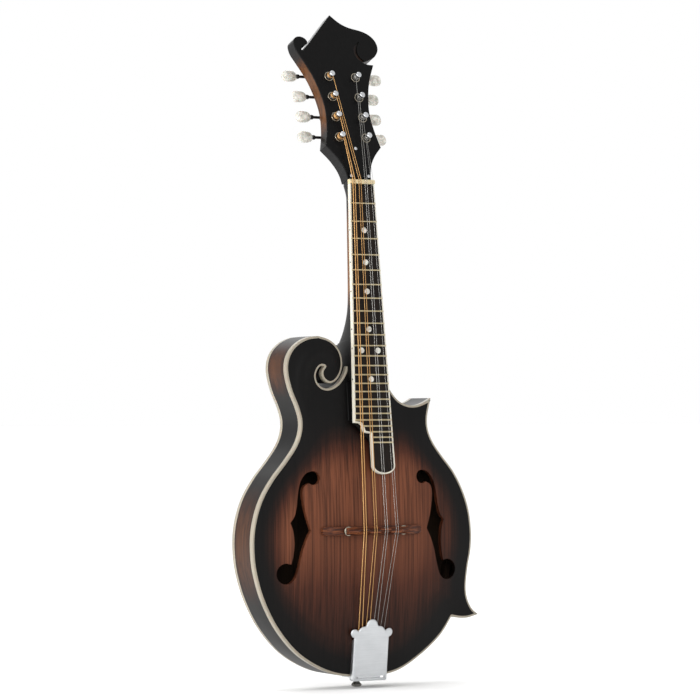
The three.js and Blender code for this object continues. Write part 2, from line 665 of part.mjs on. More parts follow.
function tunerPlate(side) {
  const ends = [postHeight(0) - 8, postHeight(3) + 16];
  const strip = block([9.3, 21.7], [HEAD_THICK + GAP, HEAD_THICK + 1.5], ends);
  const ears = [];
  for (let k = 0; k < 4; k++) {
    const z = postHeight(k) + WORM_OFFSET;
    for (const x of [POST_X - 5.1, POST_X + 4.1]) {
      const ear = block([x, x + 1], [HEAD_THICK + GAP, WORM_DEPTH + 3], [z - 3.2, z + 3.2]);
      ears.push(ear.subtract(rod('x', SHAFT_RADIUS + 0.6, x - 1, x + 2, [WORM_DEPTH, z], 6)));
    }
  }
  const whole = strip.subtract(postHoles(POST_RADIUS + 0.6)).add(joined(...ears));
  return side > 0 ? whole : whole.mirror([1, 0, 0]);
}

// ---- Bridge ----

const BRIDGE_Z = -SCALE_LENGTH;

function bridgeFoot() {
  const half = BRIDGE_HALF;
  const top = [[-half, -13.2], [-half + 5, -13.9], [-45, -16.4], [-38, BRIDGE_FOOT_TOP], [-16, -16.8],
    [0, -16.2],
    [16, -16.8], [38, BRIDGE_FOOT_TOP], [45, -16.4], [half - 5, -13.9], [half, -13.2]];
  const side = new THREE.Shape(polygon([...top, [half, 0], [-half, 0]]));
  const geometry = new THREE.ExtrudeGeometry(side, { depth: BRIDGE_WIDTH, bevelEnabled: false });
  geometry.translate(STRING_SHIFT, 0, BRIDGE_Z - BRIDGE_WIDTH / 2);
  const clear = reliefSlab((x, z) => topFront(x, z) - GAP, () => 60);
  return toSolid(geometry).subtract(clear).subtract(studRoom(-20, -13));
}

function studRoom(near, far) {
  const place = (side) => [STRING_SHIFT + side * STUD_X, BRIDGE_Z];
  const bore = (side) => rod('y', STUD_RADIUS + 0.35, near, far, place(side), 10);
  return bore(-1).add(bore(1));
}

function bridgeStud(side) {
  return rod('y', STUD_RADIUS, -24.6, -13.4, [STRING_SHIFT + side * STUD_X, BRIDGE_Z], 10);
}

function thumbwheel(side) {
  const centre = [STRING_SHIFT + side * STUD_X, BRIDGE_Z];
  const disc = rod('y', WHEEL_RADIUS, SADDLE_BOTTOM + GAP, SADDLE_BOTTOM + GAP + WHEEL_THICK, centre, 18);
  return disc.subtract(rod('y', STUD_RADIUS + 0.35, -30, -10, centre, 10));
}

function saddle() {
  const half = [[SADDLE_HALF, SADDLE_BOTTOM], [SADDLE_HALF, -27.8], [28, -28.4], [25.5, -30.4],
    [23, SADDLE_TOP]];
  const outline = [...half, ...half.map(([x, y]) => [-x, y]).reverse()];
  const shape = new THREE.Shape(polygon(outline.reverse()));
  const geometry = new THREE.ExtrudeGeometry(shape, { depth: 7.4, bevelEnabled: false });
  geometry.translate(STRING_SHIFT, 0, BRIDGE_Z - 3.7);
  const slopes = [1, -1].map((way) => {
    const cutter = new THREE.BoxGeometry(120, 30, 10);
    cutter.rotateX(way * 0.2);
    cutter.translate(0, -30, BRIDGE_Z + way * 6.5);
    return toSolid(cutter);
  });
  return toSolid(geometry).subtract(joined(...slopes)).subtract(studRoom(-26.4, -20));
}

// ---- Tailpiece and end pin ----

const COVER_FRAME = new THREE.Matrix4().makeRotationX(COVER_TILT).setPosition(COVER_X, COVER_Y, COVER_PEAK);

// Cloud-shaped upper edge, then straight sides.
function coverLine() {
  const cloud = [[5.6, -3.2], [7.2, -6.8], [10.9, -7.4], [14, -9.6], [15.6, -11.6], [18.4, -9.8], [22, -10],
    [23.9, -13], [23, -16.8], [COVER_HALF, -19]];
  const right = [...cloud].reverse();
  const left = cloud.map(([x, z]) => [-x, z]);
  return loop(polygon([[-COVER_HALF, -COVER_LENGTH], [COVER_HALF, -COVER_LENGTH]]), smooth(right, 14),
    smooth([[5.6, -3.2], [3.2, -0.8], [0, 0], [-3.2, -0.8], [-5.6, -3.2]], 6), smooth(left, 14));
}

function tailpieceCover() {
  const face = prism(coverLine(), 0, COVER_SHEET);
  const skirt = (x) => block([x, x + COVER_SHEET], [0.2, COVER_DEPTH], [-COVER_LENGTH, -19.5]);
  const tail = [-COVER_LENGTH, -COVER_LENGTH + COVER_SHEET];
  const end = block([-COVER_HALF, COVER_HALF], [0.2, COVER_DEPTH], tail);
  const top = moved(reliefSlab((x, z) => topFront(x, z) - 2 * GAP, () => 60), COVER_FRAME.clone().invert());
  const clear = top.intersect(block([-30, 30], [-5, 30], [-62, 0]));
  return joined(face, skirt(-COVER_HALF), skirt(COVER_HALF - COVER_SHEET), end).subtract(clear);
}

// Two staggered rows of hooks, in the cover's frame.
const hookPlace = (order) => ({ x: (order - 3.5) * HOOK_PITCH, z: order % 2 ? -15.5 : -12 });

function tailpieceBase() {
  const bed = block([-17.5, 17.5], [3.6, 4.6], [-58.8, -12]);
  const hook = ({ x, z }) => rod('y', 0.8, 1.6, 4.2, [x, z], 6);
  const hooks = STRINGS.map((_, order) => hook(hookPlace(order)));
  const below = block([-30, 30], [-40, 4], [-498, -440]);
  const top = reliefSlab((x, z) => topFront(x, z) - GAP, () => 4).intersect(below);
  const upper = moved(joined(bed, ...hooks), COVER_FRAME).subtract(top);
  const width = [COVER_X - APRON_HALF, COVER_X + APRON_HALF];
  const apron = block(width, [-3.6, 31], [BODY_TAIL - 1.7, BODY_TAIL - 0.4]);
  const bend = block(width, [-4.4, 0], [BODY_TAIL - 1.7, BODY_TAIL + 2.5]);
  const whole = joined(upper, apron, bend).subtract(endPinHole());
  return whole.subtract(prism(OUTLINE, -1.5, BODY_DEPTH)).subtract(plateRoom());
}

function plateRoom() {
  return prism(inset(OUTLINE, 0.5), -1.5, 40);
}

function endPin() {
  const profile = [[0, -11.5], [4.2, -11.5], [5.5, -10.2], [5.5, -9.2], [3.4, -7.4], [2.9, -5], [4.4, -2.6],
    [4.4, -2.1],
    [2.9, -2.1], [2.9, 13], [0, 14]];
  const geometry = turned(profile, 10);
  geometry.translate(0, END_PIN_Y, BODY_TAIL);
  return toSolid(geometry);
}

// ---- Strings ----

// A closed round bar through points, with flat ends square to its first and last stretch.
function wire(points, radius, sides = 6) {
  const rings = points.map((p, i) => {
    const before = points[Math.max(i - 1, 0)];
    const after = points[Math.min(i + 1, points.length - 1)];
    const along = after.clone().sub(before).normalize();
    const across = new THREE.Vector3(1, 0, 0).cross(along).normalize();
    const over = along.clone().cross(across);
    return Array.from({ length: sides }, (_, k) => {
      const angle = (2 * Math.PI * k) / sides;
      const [u, v] = [radius * Math.cos(angle), radius * Math.sin(angle)];
      return p.clone().addScaledVector(across, u).addScaledVector(over, v);
    });
  });
  return loft(rings);
}

// String order from bass to treble, with the post that each winds on.
const STRINGS = [['G', 1, -1, 0], ['G', 2, -1, 1], ['D', 1, -1, 2], ['D', 2, -1, 3],
  ['A', 1, 1, 3], ['A', 2, 1, 2], ['E', 1, 1, 1], ['E', 2, 1, 0]];

function stringPath(order) {
  const [note, , side, post] = STRINGS[order];
  const radius = STRING_RADII[note];
  const course = Math.floor(order / 2) - 1.5;
  const inPair = (order % 2) - 0.5;
  const reach = (POST_RADIUS + GAP + radius) * Math.SQRT1_2; // it meets the post at its lower inner side
  const atPost = new THREE.Vector3(side * (POST_X - reach), -5, POST_FIRST + POST_PITCH * post - reach)
    .applyMatrix4(HEAD_FRAME);
  const nutX = course * COURSE_AT_NUT + inPair * PAIR_AT_NUT;
  const nutBack = new THREE.Vector3(nutX, 2.4 - GAP - radius, 5.2);
  const nutFront = new THREE.Vector3(nutX, 2 - GAP - radius, 0);
  const saddleX = STRING_SHIFT + course * COURSE_AT_SADDLE + inPair * PAIR_AT_SADDLE;
  const atSaddle = new THREE.Vector3(saddleX, SADDLE_TOP - GAP - radius, BRIDGE_Z);
  const place = hookPlace(order);
  const hook = new THREE.Vector3(place.x, 2.6, place.z + 0.8 + GAP).applyMatrix4(COVER_FRAME);
  return [atPost, nutBack, nutFront, atSaddle, hook];
}

// ---- Assembly ----

function named(name, solid, look, parent) {
  const mesh = new THREE.Mesh(solid.isBufferGeometry ? solid : toGeometry(solid), LOOK[look]());
  mesh.name = name;
  parent.add(mesh);
}

function tilted(matrix, parent) {
  const group = new THREE.Group();
  group.applyMatrix4(matrix);
  parent.add(group);
  return group;
}

function buildBody(parent) {
  named('top_plate', topPlate(), 'top', parent);
  named('back_plate', backPlate(), 'wood', parent);
  for (const [name, strip] of Object.entries(rimStrips())) named(name, strip, 'wood', parent);
  named('top_binding', binding(0, BINDING_DEPTH), 'ivory', parent);
  named('back_binding', binding(BODY_DEPTH - BINDING_DEPTH, BODY_DEPTH), 'ivory', parent);
  named('top_lining', lining(SIDE_NEAR, SIDE_NEAR + LINING_DEPTH), 'inner', parent);
  named('back_lining', lining(SIDE_FAR - LINING_DEPTH, SIDE_FAR), 'inner', parent);
  named('neck_block', neckBlock(), 'wood', parent);
  named('tail_block', innerBlock([-32, 32], [-505, -482]).subtract(endPinHole()), 'inner', parent);
  named('lower_point_block', innerBlock([100, 132], [-446, -414]), 'inner', parent);
  named('upper_point_block', innerBlock([50, 80], [-248, -218]), 'inner', parent);
  named('tone_bar_bass', toneBar(-1), 'inner', parent);
  named('tone_bar_treble', toneBar(1), 'inner', parent);
}

function buildNeck(parent) {
  const board = tilted(BOARD_FRAME, parent);
  const head = tilted(HEAD_FRAME, parent);
  named('neck', neck(), 'wood', parent);
  named('fingerboard_riser', riser(), 'black', parent);
  named('fingerboard', fingerboard(), 'ebony', board);
  named('fingerboard_binding', boardBinding(), 'ivory', board);
  named('nut', nut(), 'ivory', board);
  named('truss_rod', trussRod(), 'steel', board);
  named('truss_rod_nut', trussRodNut(), 'brass', board);
  named('headstock_overlay', headstockOverlay(), 'black', head);
  named('truss_rod_cover', trussCover(), 'black', head);
}

function buildTuners(parent) {
  const head = tilted(HEAD_FRAME, parent);
  for (const { side, k, x, z } of postPlaces) {
    const hand = side < 0 ? 'bass' : 'treble';
    named(`tuner_post_${hand}_${k + 1}`, tunerPost(x, z), 'nickel', head);
    named(`tuner_button_${hand}_${k + 1}`, tunerShaft(side, k, z + WORM_OFFSET), 'pearl', head);
  }
  named('tuner_plate_bass', tunerPlate(-1), 'nickel', head);
  named('tuner_plate_treble', tunerPlate(1), 'nickel', head);
}

function buildBridge(parent) {
  named('bridge_foot', bridgeFoot(), 'rosewood', parent);
  named('bridge_saddle', saddle(), 'rosewood', parent);
  for (const side of [-1, 1]) {
    const hand = side < 0 ? 'bass' : 'treble';
    named(`bridge_stud_${hand}`, bridgeStud(side), 'nickel', parent);
    named(`thumbwheel_${hand}`, thumbwheel(side), 'nickel', parent);
  }
}

function buildTailpiece(parent) {
  const cover = tilted(COVER_FRAME, parent);
  named('tailpiece_base', tailpieceBase(), 'nickel', parent);
  named('tailpiece_cover', tailpieceCover(), 'nickel', cover);
  named('end_pin', endPin(), 'nickel', parent);
}

function buildStrings(parent) {
  STRINGS.forEach(([note, member], order) => {
    const look = note === 'G' || note === 'D' ? 'bronze' : 'steel';
    named(`string_${note}${member}`, wire(stringPath(order), STRING_RADII[note]), look, parent);
  });
}

const mandolin = new THREE.Group();
buildBody(mandolin);
buildNeck(mandolin);
buildTuners(mandolin);
buildBridge(mandolin);
buildTailpiece(mandolin);
buildStrings(mandolin);

export default mandolin;
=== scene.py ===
import math

import bmesh
import bpy
import numpy as np
from mathutils import Matrix, Vector
from mathutils.geometry import delaunay_2d_cdt


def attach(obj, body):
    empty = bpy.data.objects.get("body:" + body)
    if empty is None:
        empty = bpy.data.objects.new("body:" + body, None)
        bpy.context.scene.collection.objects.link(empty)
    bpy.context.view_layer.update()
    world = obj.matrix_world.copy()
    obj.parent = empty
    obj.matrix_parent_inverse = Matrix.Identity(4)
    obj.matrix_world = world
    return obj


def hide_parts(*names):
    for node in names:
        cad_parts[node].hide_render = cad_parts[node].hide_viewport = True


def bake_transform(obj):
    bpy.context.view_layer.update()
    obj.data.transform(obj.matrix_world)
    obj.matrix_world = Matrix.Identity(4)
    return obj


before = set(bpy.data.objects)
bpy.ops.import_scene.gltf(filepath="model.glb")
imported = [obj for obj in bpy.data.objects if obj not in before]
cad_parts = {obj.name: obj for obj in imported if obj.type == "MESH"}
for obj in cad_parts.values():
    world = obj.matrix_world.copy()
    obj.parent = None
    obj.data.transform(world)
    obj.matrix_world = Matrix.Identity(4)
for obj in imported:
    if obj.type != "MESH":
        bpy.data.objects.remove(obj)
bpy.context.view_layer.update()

# A scroll-body mandolin, dressed over its CAD frame. Shapes are in millimetres in the frame's own axes:
# the neck along +Z, the strings on the -Y side, the bass side at -X, and the nut at the origin.

MM = 0.001
SCALE_LENGTH = 352.4
BODY_DEPTH = 46
BINDING_WIDTH = 2.2
BINDING_DEPTH = 6
RIM_WALL = 2.6
TOP_ARCH = 12.4
BACK_ARCH = 10
ARCH_HOLLOW = 0.06
INNER_ARCH = 1.125
PLATE_EDGE = 6
FILM_CELL = 2.5

BOARD_TILT = math.radians(5)
BOARD_Y = 3.6
BOARD_THICK = 4.3
BOARD_BINDING = 1.5
HEAD_TILT = math.radians(19)
HEAD_Y = 6.35
HEAD_THICK = 15.5
HEAD_START = 5.4
OVERLAY = 1.7

POST_X = 15.5
POST_FIRST = 51.7
POST_PITCH = 22.7
POST_RADIUS = 3
WORM_OFFSET = 8.4
WORM_DEPTH = 21.5
BUTTON_CENTRES = [43.2, 41.4, 42.6, 49.8]

BRIDGE_X = 0.8
BRIDGE_Z = -352.4
SADDLE_TOP = -31.4
SADDLE_BOTTOM = -21.9
STUD_X = 31.75
COVER_TILT = math.radians(7)
COVER_X = 1.2
COVER_Y = -12.9
COVER_PEAK = -442.5
COVER_LENGTH = 63.3
COVER_HALF = 20
TAIL = -501
END_PIN_Y = 20.7

# ---- Lines and areas ----


def smooth(points, steps):
    """A smooth line through the points, cut into equal steps."""
    p = np.array(points, float)
    t = np.linspace(0, 1, 24, endpoint=False)[:, None]
    dense = []
    for i in range(len(p) - 1):
        a, b = p[i], p[i + 1]
        u = (b - p[max(i - 1, 0)]) / 2
        v = (p[min(i + 2, len(p) - 1)] - a) / 2
        dense.append((2 * a - 2 * b + u + v) * t**3 + (-3 * a + 3 * b - 2 * u - v) * t**2 + u * t + a)
    dense = np.vstack([*dense, p[-1:]])
    length = np.r_[0, np.cumsum(np.linalg.norm(np.diff(dense, axis=0), axis=1))]
    at = np.linspace(0, length[-1], steps + 1)
    return np.column_stack([np.interp(at, length, column) for column in dense.T])


def arc(x, z, radius, start, end, steps):
    angle = np.radians(np.linspace(start, end, steps + 1))
    return np.column_stack([x + radius * np.cos(angle), z + radius * np.sin(angle)])


def circle(x, z, radius, steps=32):
    return arc(x, z, radius, 0, 360, steps)[:-1]


def loop(*stretches):
    """Stretches joined end to end, without repeated points."""
    p = np.vstack(stretches)
    return p[np.linalg.norm(p - np.roll(p, -1, axis=0), axis=1) > 0.04]


def inside(ring, p):
    a, b = ring, np.roll(ring, -1, axis=0)
    x, z = p[:, :1], p[:, 1:]
    rise = np.where(a[:, 1] == b[:, 1], 1e-9, b[:, 1] - a[:, 1])
    crosses = (a[:, 1] > z) != (b[:, 1] > z)
    return (crosses & (x < (b[:, 0] - a[:, 0]) * (z - a[:, 1]) / rise + a[:, 0])).sum(1) % 2 == 1


def distance(ring, p):
    """Distance of each point from a closed line."""
    best = np.full(len(p), 1e9)
    for a, b in zip(ring, np.roll(ring, -1, axis=0)):
        edge = b - a
        along = np.clip((p - a) @ edge / (edge @ edge), 0, 1)
        best = np.minimum(best, np.linalg.norm(p - a - along[:, None] * edge, axis=1))
    return best


def rays(ring):
    """Points of an anticlockwise line with their inward directions, fanned out where a slit ends."""
    places, ways = [], []
    for i, here in enumerate(ring):
        first = here - ring[i - 1]
        second = ring[(i + 1) % len(ring)] - here
        first, second = (np.array([-v[1], v[0]]) / np.linalg.norm(v) for v in (first, second))
        turn = math.atan2(first[0] * second[1] - first[1] * second[0], first @ second)
        if turn < -0.7:
            for k in range(7):
                c, s = math.cos(turn * k / 6), math.sin(turn * k / 6)
                places.append(here)
                ways.append(np.array([c * first[0] - s * first[1], s * first[0] + c * first[1]]))
        else:
            middle = (first + second) / np.linalg.norm(first + second)
            places.append(here)
            ways.append(middle / max(middle @ first, 0.3))
    return np.array(places), np.array(ways)


def inset(ring, by):
    """The line by millimetres inside an anticlockwise ring, without the places where it would cross itself."""
    places, ways = rays(ring)
    moved = places + by * ways
    return moved[distance(ring, moved) > abs(by) - 0.06]


def triangulate(outer, holes=(), lines=(), grid=()):
    """Points and triangles over the area inside outer and outside the holes."""
    points, edges = [], []
    for ring in (outer, *holes, *lines):
        start, count = len(points), len(ring)
        points.extend(ring)
        edges.extend((start + i, start + (i + 1) % count) for i in range(count))
    points.extend(grid)
    found = delaunay_2d_cdt([Vector(p) for p in points], edges, [], 0, 1e-4)
    flat = np.array([tuple(v) for v in found[0]])
    triangles = np.array([tuple(t) for t in found[2]])
    middle = flat[triangles].mean(1)
    keep = inside(outer, middle)
    for hole in holes:
        keep &= ~inside(hole, middle)
    return flat, triangles[keep]


# ---- Solids: each function returns points and faces ----


def slab(flat, triangles, near, far, bevel=(0, 0)):
    """A closed solid over a flat area, between two heights, with its rim drawn in by the bevels."""
    used, renumbered = np.unique(triangles, return_inverse=True)
    triangles = renumbered.reshape(triangles.shape)
    flat = flat[used]
    near = near(*flat.T) if callable(near) else np.full(len(flat), float(near))
    far = far(*flat.T) if callable(far) else np.full(len(flat), float(far))
    edges = {(a, b) for t in triangles.tolist() for a, b in zip(t, t[1:] + t[:1])}
    border = [e for e in edges if e[::-1] not in edges]
    rim = np.unique(border)
    near[rim] += bevel[0]
    far[rim] -= bevel[1]
    count = len(flat)
    points = np.vstack([np.column_stack([flat[:, 0], y, flat[:, 1]]) for y in (near, far)])
    faces = triangles.tolist() + (triangles[:, ::-1] + count).tolist()
    faces += [[b, a, a + count, b + count] for a, b in border]
    return points, faces


def plate(outer, near, far, holes=(), bevel=(0.4, 0.4), step=None):
    """A flat piece with softened edges."""
    soft = max(bevel)
    lines = []
    if soft:
        for depth in (soft, soft * 2):
            lines.append(inset(outer, depth))
            lines += [inset(hole[::-1], depth)[::-1] for hole in holes]
    grid = ()
    if step:
        low, high = outer.min(0), outer.max(0)
        grid = np.stack(np.meshgrid(*(np.arange(a, b, step) for a, b in zip(low, high))), -1).reshape(-1, 2)
        grid = grid[inside(outer, grid) & (distance(outer, grid) > soft * 2 + 0.3 * step)]
    return slab(*triangulate(outer, holes, lines, grid), near, far, bevel)


def lofted(rings, around=True, ends=True, ring_loop=False):
    """A skin over equally long rings of points."""
    rings = np.array(rings, float)
    rows, sides = rings.shape[:2]
    faces = []
    for row in range(rows if ring_loop else rows - 1):
        a, b = row * sides, (row + 1) % rows * sides
        for i in range(sides if around else sides - 1):
            j = (i + 1) % sides
            faces.append([a + i, a + j, b + j, b + i])
    if ends and not ring_loop:
        faces += [list(range(sides))[::-1], [(rows - 1) * sides + i for i in range(sides)]]
    return rings.reshape(-1, 3), faces


def lathe(profile, sides=32, wobble=None):
    """A turned solid about the local Y axis: rows are radius and height. wobble changes the radius by angle and row."""
    angle = np.linspace(0, 2 * np.pi, sides, endpoint=False)
    rings = []
    for radius, height in profile:
        r = max(radius, 0.001) * (1 if wobble is None else wobble(angle, radius, height))
        rings.append(np.column_stack([r * np.cos(angle), np.full(sides, height), r * np.sin(angle)]))
    return lofted(rings)


def tube(path, radius, sides=8):
    """A round bar along a line of points."""
    path = np.array(path, float)
    along = np.gradient(path, axis=0)
    along /= np.linalg.norm(along, axis=1)[:, None]
    side = np.cross(along[0], [0.3, 0.5, 0.81])
    radius = np.broadcast_to(radius, len(path))
    angle = np.linspace(0, 2 * np.pi, sides, endpoint=False)
    rings = []
    for place, way, r in zip(path, along, radius):
        side = side - (side @ way) * way
        side = side / np.linalg.norm(side)
        other = np.cross(way, side)
        rings.append(place + r * (np.outer(np.cos(angle), side) + np.outer(np.sin(angle), other)))
    return lofted(rings)


def block(x, y, z, bevel=0.3):
    """A box with softened edges."""
    ring = np.array([[x[0], z[0]], [x[1], z[0]], [x[1], z[1]], [x[0], z[1]]], float)
    return plate(ring, y[0], y[1], bevel=(bevel, bevel))


def both(*solids):
    """Several solids as one piece."""
    points, faces, count = [], [], 0
    for p, f in solids:
        points.append(np.asarray(p, float))
        faces += [[i + count for i in face] for face in f]
        count += len(p)
    return np.vstack(points), faces


def placed(solid, at=(0, 0, 0), turn=None):
    points, faces = solid
    if turn is not None:
        points = points @ np.array(turn.to_3x3()).T
    return points + np.array(at, float), faces


def tilted(solid, angle, y, z=0):
    """Moves a solid from a tilted local frame into the object's frame."""
    points, faces = solid
    c, s = math.cos(angle), math.sin(angle)
    local = np.asarray(points, float)
    out = local.copy()
    out[:, 1] = y + local[:, 1] * c + local[:, 2] * s
    out[:, 2] = z - local[:, 1] * s + local[:, 2] * c
    return out, faces


def on_head(solid):
    return tilted(solid, HEAD_TILT, HEAD_Y)


def on_board(solid):
    return tilted(solid, BOARD_TILT, BOARD_Y)


def on_cover(solid):
    return placed(tilted(solid, -COVER_TILT, COVER_Y, COVER_PEAK), (COVER_X, 0, 0))


def piece(name, solid, look, body="body", replaces=(), sharp=40, values=None):
    """Adds one piece that rides on a CAD body. values are a number for each point, read by the look as 'shade'."""
    points, faces = solid
    mesh = bpy.data.meshes.new(name)
    mesh.from_pydata((np.asarray(points) * MM).tolist(), [], faces)
    if values is not None:
        mesh.attributes.new("shade", "FLOAT", "POINT").data.foreach_set("value", np.asarray(values, np.float32))
    work = bmesh.new()
    work.from_mesh(mesh)
    bmesh.ops.recalc_face_normals(work, faces=work.faces)
    work.to_mesh(mesh)
    work.free()
    mesh.materials.append(look)
    mesh.shade_smooth()
    mesh.set_sharp_from_angle(angle=math.radians(sharp))
    made = bpy.data.objects.new(name, mesh)
    bpy.context.scene.collection.objects.link(made)
    if body:
        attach(made, body)
    if replaces:
        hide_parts(*([replaces] if isinstance(replaces, str) else replaces))
    return made


# ---- Looks ----


def colour(text):
    """A colour written as #rrggbb, as the shader's linear numbers."""
    parts = [int(text[i : i + 2], 16) / 255 for i in (1, 3, 5)]
    return tuple(c / 12.92 if c <= 0.04045 else ((c + 0.055) / 1.055) ** 2.4 for c in parts) + (1,)


class Look:
    """A material with its nodes."""

    def __init__(self, name, **settings):
        self.material = bpy.data.materials.new(name)
        self.material.use_nodes = True
        self.tree = self.material.node_tree
        self.shader = self.tree.nodes["Principled BSDF"]
        for key, value in settings.items():
            self.shader.inputs[key.replace("_", " ").title().replace("Ior", "IOR")].default_value = value
        self.place = self.add("TexCoord").outputs["Object"]

    def add(self, kind, inputs=None, **settings):
        made = self.tree.nodes.new("ShaderNode" + kind)
        for key, value in settings.items():
            setattr(made, key, value)
        for key, value in (inputs or {}).items():
            self.join(value, made.inputs[key])
        return made

    def join(self, value, socket):
        if isinstance(value, bpy.types.NodeSocket):
            self.tree.links.new(value, socket)
        else:
            socket.default_value = value

    def scaled(self, x, y, z):
        return self.add("Mapping", {"Vector": self.place, "Scale": (x, y, z)}).outputs["Vector"]

    def noise(self, stretch, detail=4, rough=0.55, distortion=0.0):
        inputs = {"Vector": self.scaled(*stretch), "Scale": 1.0, "Detail": detail, "Roughness": rough,
                  "Distortion": distortion}
        return self.add("TexNoise", inputs).outputs["Fac"]

    def math(self, operation, a, b=0.5, clamp=False):
        made = self.add("Math", operation=operation, use_clamp=clamp)
        self.join(a, made.inputs[0])
        self.join(b, made.inputs[1])
        return made.outputs[0]

    def ramp(self, value, stops):
        made = self.add("ValToRGB", {"Fac": value})
        ramp = made.color_ramp
        while len(ramp.elements) < len(stops):
            ramp.elements.new(0.5)
        for element, (at, shade) in zip(ramp.elements, stops):
            element.position = at
            element.color = colour(shade) if isinstance(shade, str) else (shade, shade, shade, 1)
        return made.outputs["Color"]

    def mix(self, factor, a, b, blend_type="MIX"):
        made = self.add("Mix", data_type="RGBA", blend_type=blend_type)
        self.join(factor, made.inputs[0])
        self.join(a, made.inputs[6])
        self.join(b, made.inputs[7])
        return made.outputs[2]

    def bump(self, height, strength, far=0.0002):
        made = self.add("Bump", {"Height": height, "Strength": strength, "Distance": far})
        self.join(made.outputs[0], self.shader.inputs["Normal"])

    def spread(self, value, low, high):
        made = self.add("MapRange", {"Value": value, "From Min": 0.3, "From Max": 0.7, "To Min": low, "To Max": high})
        return made.outputs["Result"]

    def set(self, **values):
        for key, value in values.items():
            self.join(value, self.shader.inputs[key.replace("_", " ").title()])
        return self.material


def stained(name, stops, fine, broad, figure=None, roughness=(0.36, 0.48), shine=0.2, uneven=0.14):
    """Wood under a shaded satin stain: 'shade' runs from the dark edge to the light middle."""
    look = Look(name, specular_ior_level=shine)
    shade = look.add("Attribute", attribute_name="shade").outputs["Fac"]
    cloud = look.noise((9, 9, 6), 3)
    shade = look.math("ADD", shade, look.math("MULTIPLY", look.math("SUBTRACT", cloud), uneven), clamp=True)
    base = look.ramp(shade, stops)
    lines = look.noise(fine, 5, 0.6)
    bands = look.noise(broad, 3, 0.5, 0.4)
    base = look.mix(0.9, base, look.ramp(lines, [(0.34, 0.3), (0.5, 0.85), (0.62, 1.0)]), "MULTIPLY")
    base = look.mix(0.8, base, look.ramp(bands, [(0.32, 0.4), (0.52, 0.92), (0.7, 1.0)]), "MULTIPLY")
    if figure:
        curl = look.noise(figure, 2, 0.4, 0.6)
        base = look.mix(0.55, base, look.ramp(curl, [(0.35, 0.55), (0.6, 1.0)]), "MULTIPLY")
    look.bump(lines, 0.12, 0.0001)
    return look.set(base_color=base, roughness=look.spread(cloud, *roughness))


def top_look():
    # 'shade' here also carries the painted shade on the treble side, from burst_and_treble_shade
    stops = [(0, "#040303"), (0.2, "#0a0504"), (0.45, "#27120a"), (0.7, "#4a2618"), (1, "#6e3f2a")]
    return stained("sunburst_top", stops, (850, 260, 5), (240, 90, 3), shine=0.14)


def rim_look():
    stops = [(0, "#030303"), (0.3, "#0f0805"), (0.65, "#331a0d"), (1, "#4d2c16")]
    return stained("stained_wood", stops, (420, 800, 16), (110, 260, 7), (60, 60, 18), shine=0.14)


def neck_look():
    stops = [(0, "#060505"), (0.35, "#170c07"), (0.75, "#51301a"), (1, "#734a28")]
    return stained("neck_wood", stops, (800, 800, 18), (140, 140, 6))


def shaded_inner_look():
    # The inner wood is coloured near black as painted shade for the dark inside of the body.
    look = Look("inner_wood", specular_ior_level=0.2)
    lines = look.noise((900, 300, 10), 5)
    kerfs = look.noise((60, 60, 30), 2)
    base = look.mix(0.5, look.ramp(lines, [(0.3, "#1a120b"), (0.7, "#33241a")]),
                    look.ramp(kerfs, [(0.3, "#21170e"), (0.7, "#3a2a1b")]))
    look.bump(lines, 0.2)
    return look.set(base_color=base, roughness=look.spread(kerfs, 0.7, 0.85))


def black_look(name="black_lacquer", light="#0b0a0a", dark="#030303", roughness=(0.36, 0.5), shine=0.1):
    look = Look(name, specular_ior_level=shine)
    lines = look.noise((700, 500, 14), 5, 0.65)
    cloud = look.noise((25, 25, 25), 3)
    base = look.ramp(lines, [(0.3, dark), (0.75, light)])
    look.bump(lines, 0.1, 0.0001)
    return look.set(base_color=base, roughness=look.spread(cloud, *roughness))


def rosewood_look():
    look = Look("rosewood", specular_ior_level=0.2)
    lines = look.noise((22, 260, 700), 6, 0.62, 0.5)
    cloud = look.noise((40, 60, 60), 3)
    base = look.ramp(lines, [(0.28, "#170a06"), (0.48, "#3f1d10"), (0.6, "#6b3a1f"), (0.78, "#9a6238")])
    base = look.mix(0.5, base, look.ramp(cloud, [(0.35, 0.55), (0.6, 1.0)]), "MULTIPLY")
    look.bump(lines, 0.25, 0.0001)
    return look.set(base_color=base, roughness=look.spread(cloud, 0.38, 0.52))


def ivory_look(name, dark, light, roughness=(0.3, 0.42)):
    look = Look(name, subsurface_weight=0.08, subsurface_scale=0.001, specular_ior_level=0.3)
    lines = look.noise((260, 260, 30), 4, 0.6, 0.3)
    cloud = look.noise((18, 18, 18), 3)
    base = look.mix(look.math("MULTIPLY", cloud, 0.9), colour(light), colour(dark))
    base = look.mix(0.3, base, look.ramp(lines, [(0.35, 0.72), (0.6, 1.0)]), "MULTIPLY")
    look.bump(lines, 0.05, 0.0001)
    return look.set(base_color=base, roughness=look.spread(cloud, *roughness))


def pearl_look():
    look = Look("pearl", coat_weight=0.5, coat_roughness=0.12, subsurface_weight=0.1, subsurface_scale=0.002)
    cells = look.add("TexVoronoi", {"Vector": look.scaled(1, 1, 1), "Scale": 260.0}, feature="F1").outputs["Color"]
    swirl = look.noise((190, 190, 190), 4, 0.5, 1.8)
    shine = look.mix(0.5, cells, look.ramp(swirl, [(0.3, 0.25), (0.7, 1.0)]))
    grey = look.add("RGBToBW", {"Color": shine}).outputs[0]
    base = look.ramp(grey, [(0.25, "#8d8a80"), (0.5, "#aeaba2"), (0.75, "#cfccc3")])
    look.bump(grey, 0.05, 0.0002)
    return look.set(base_color=base, roughness=look.spread(swirl, 0.18, 0.3))


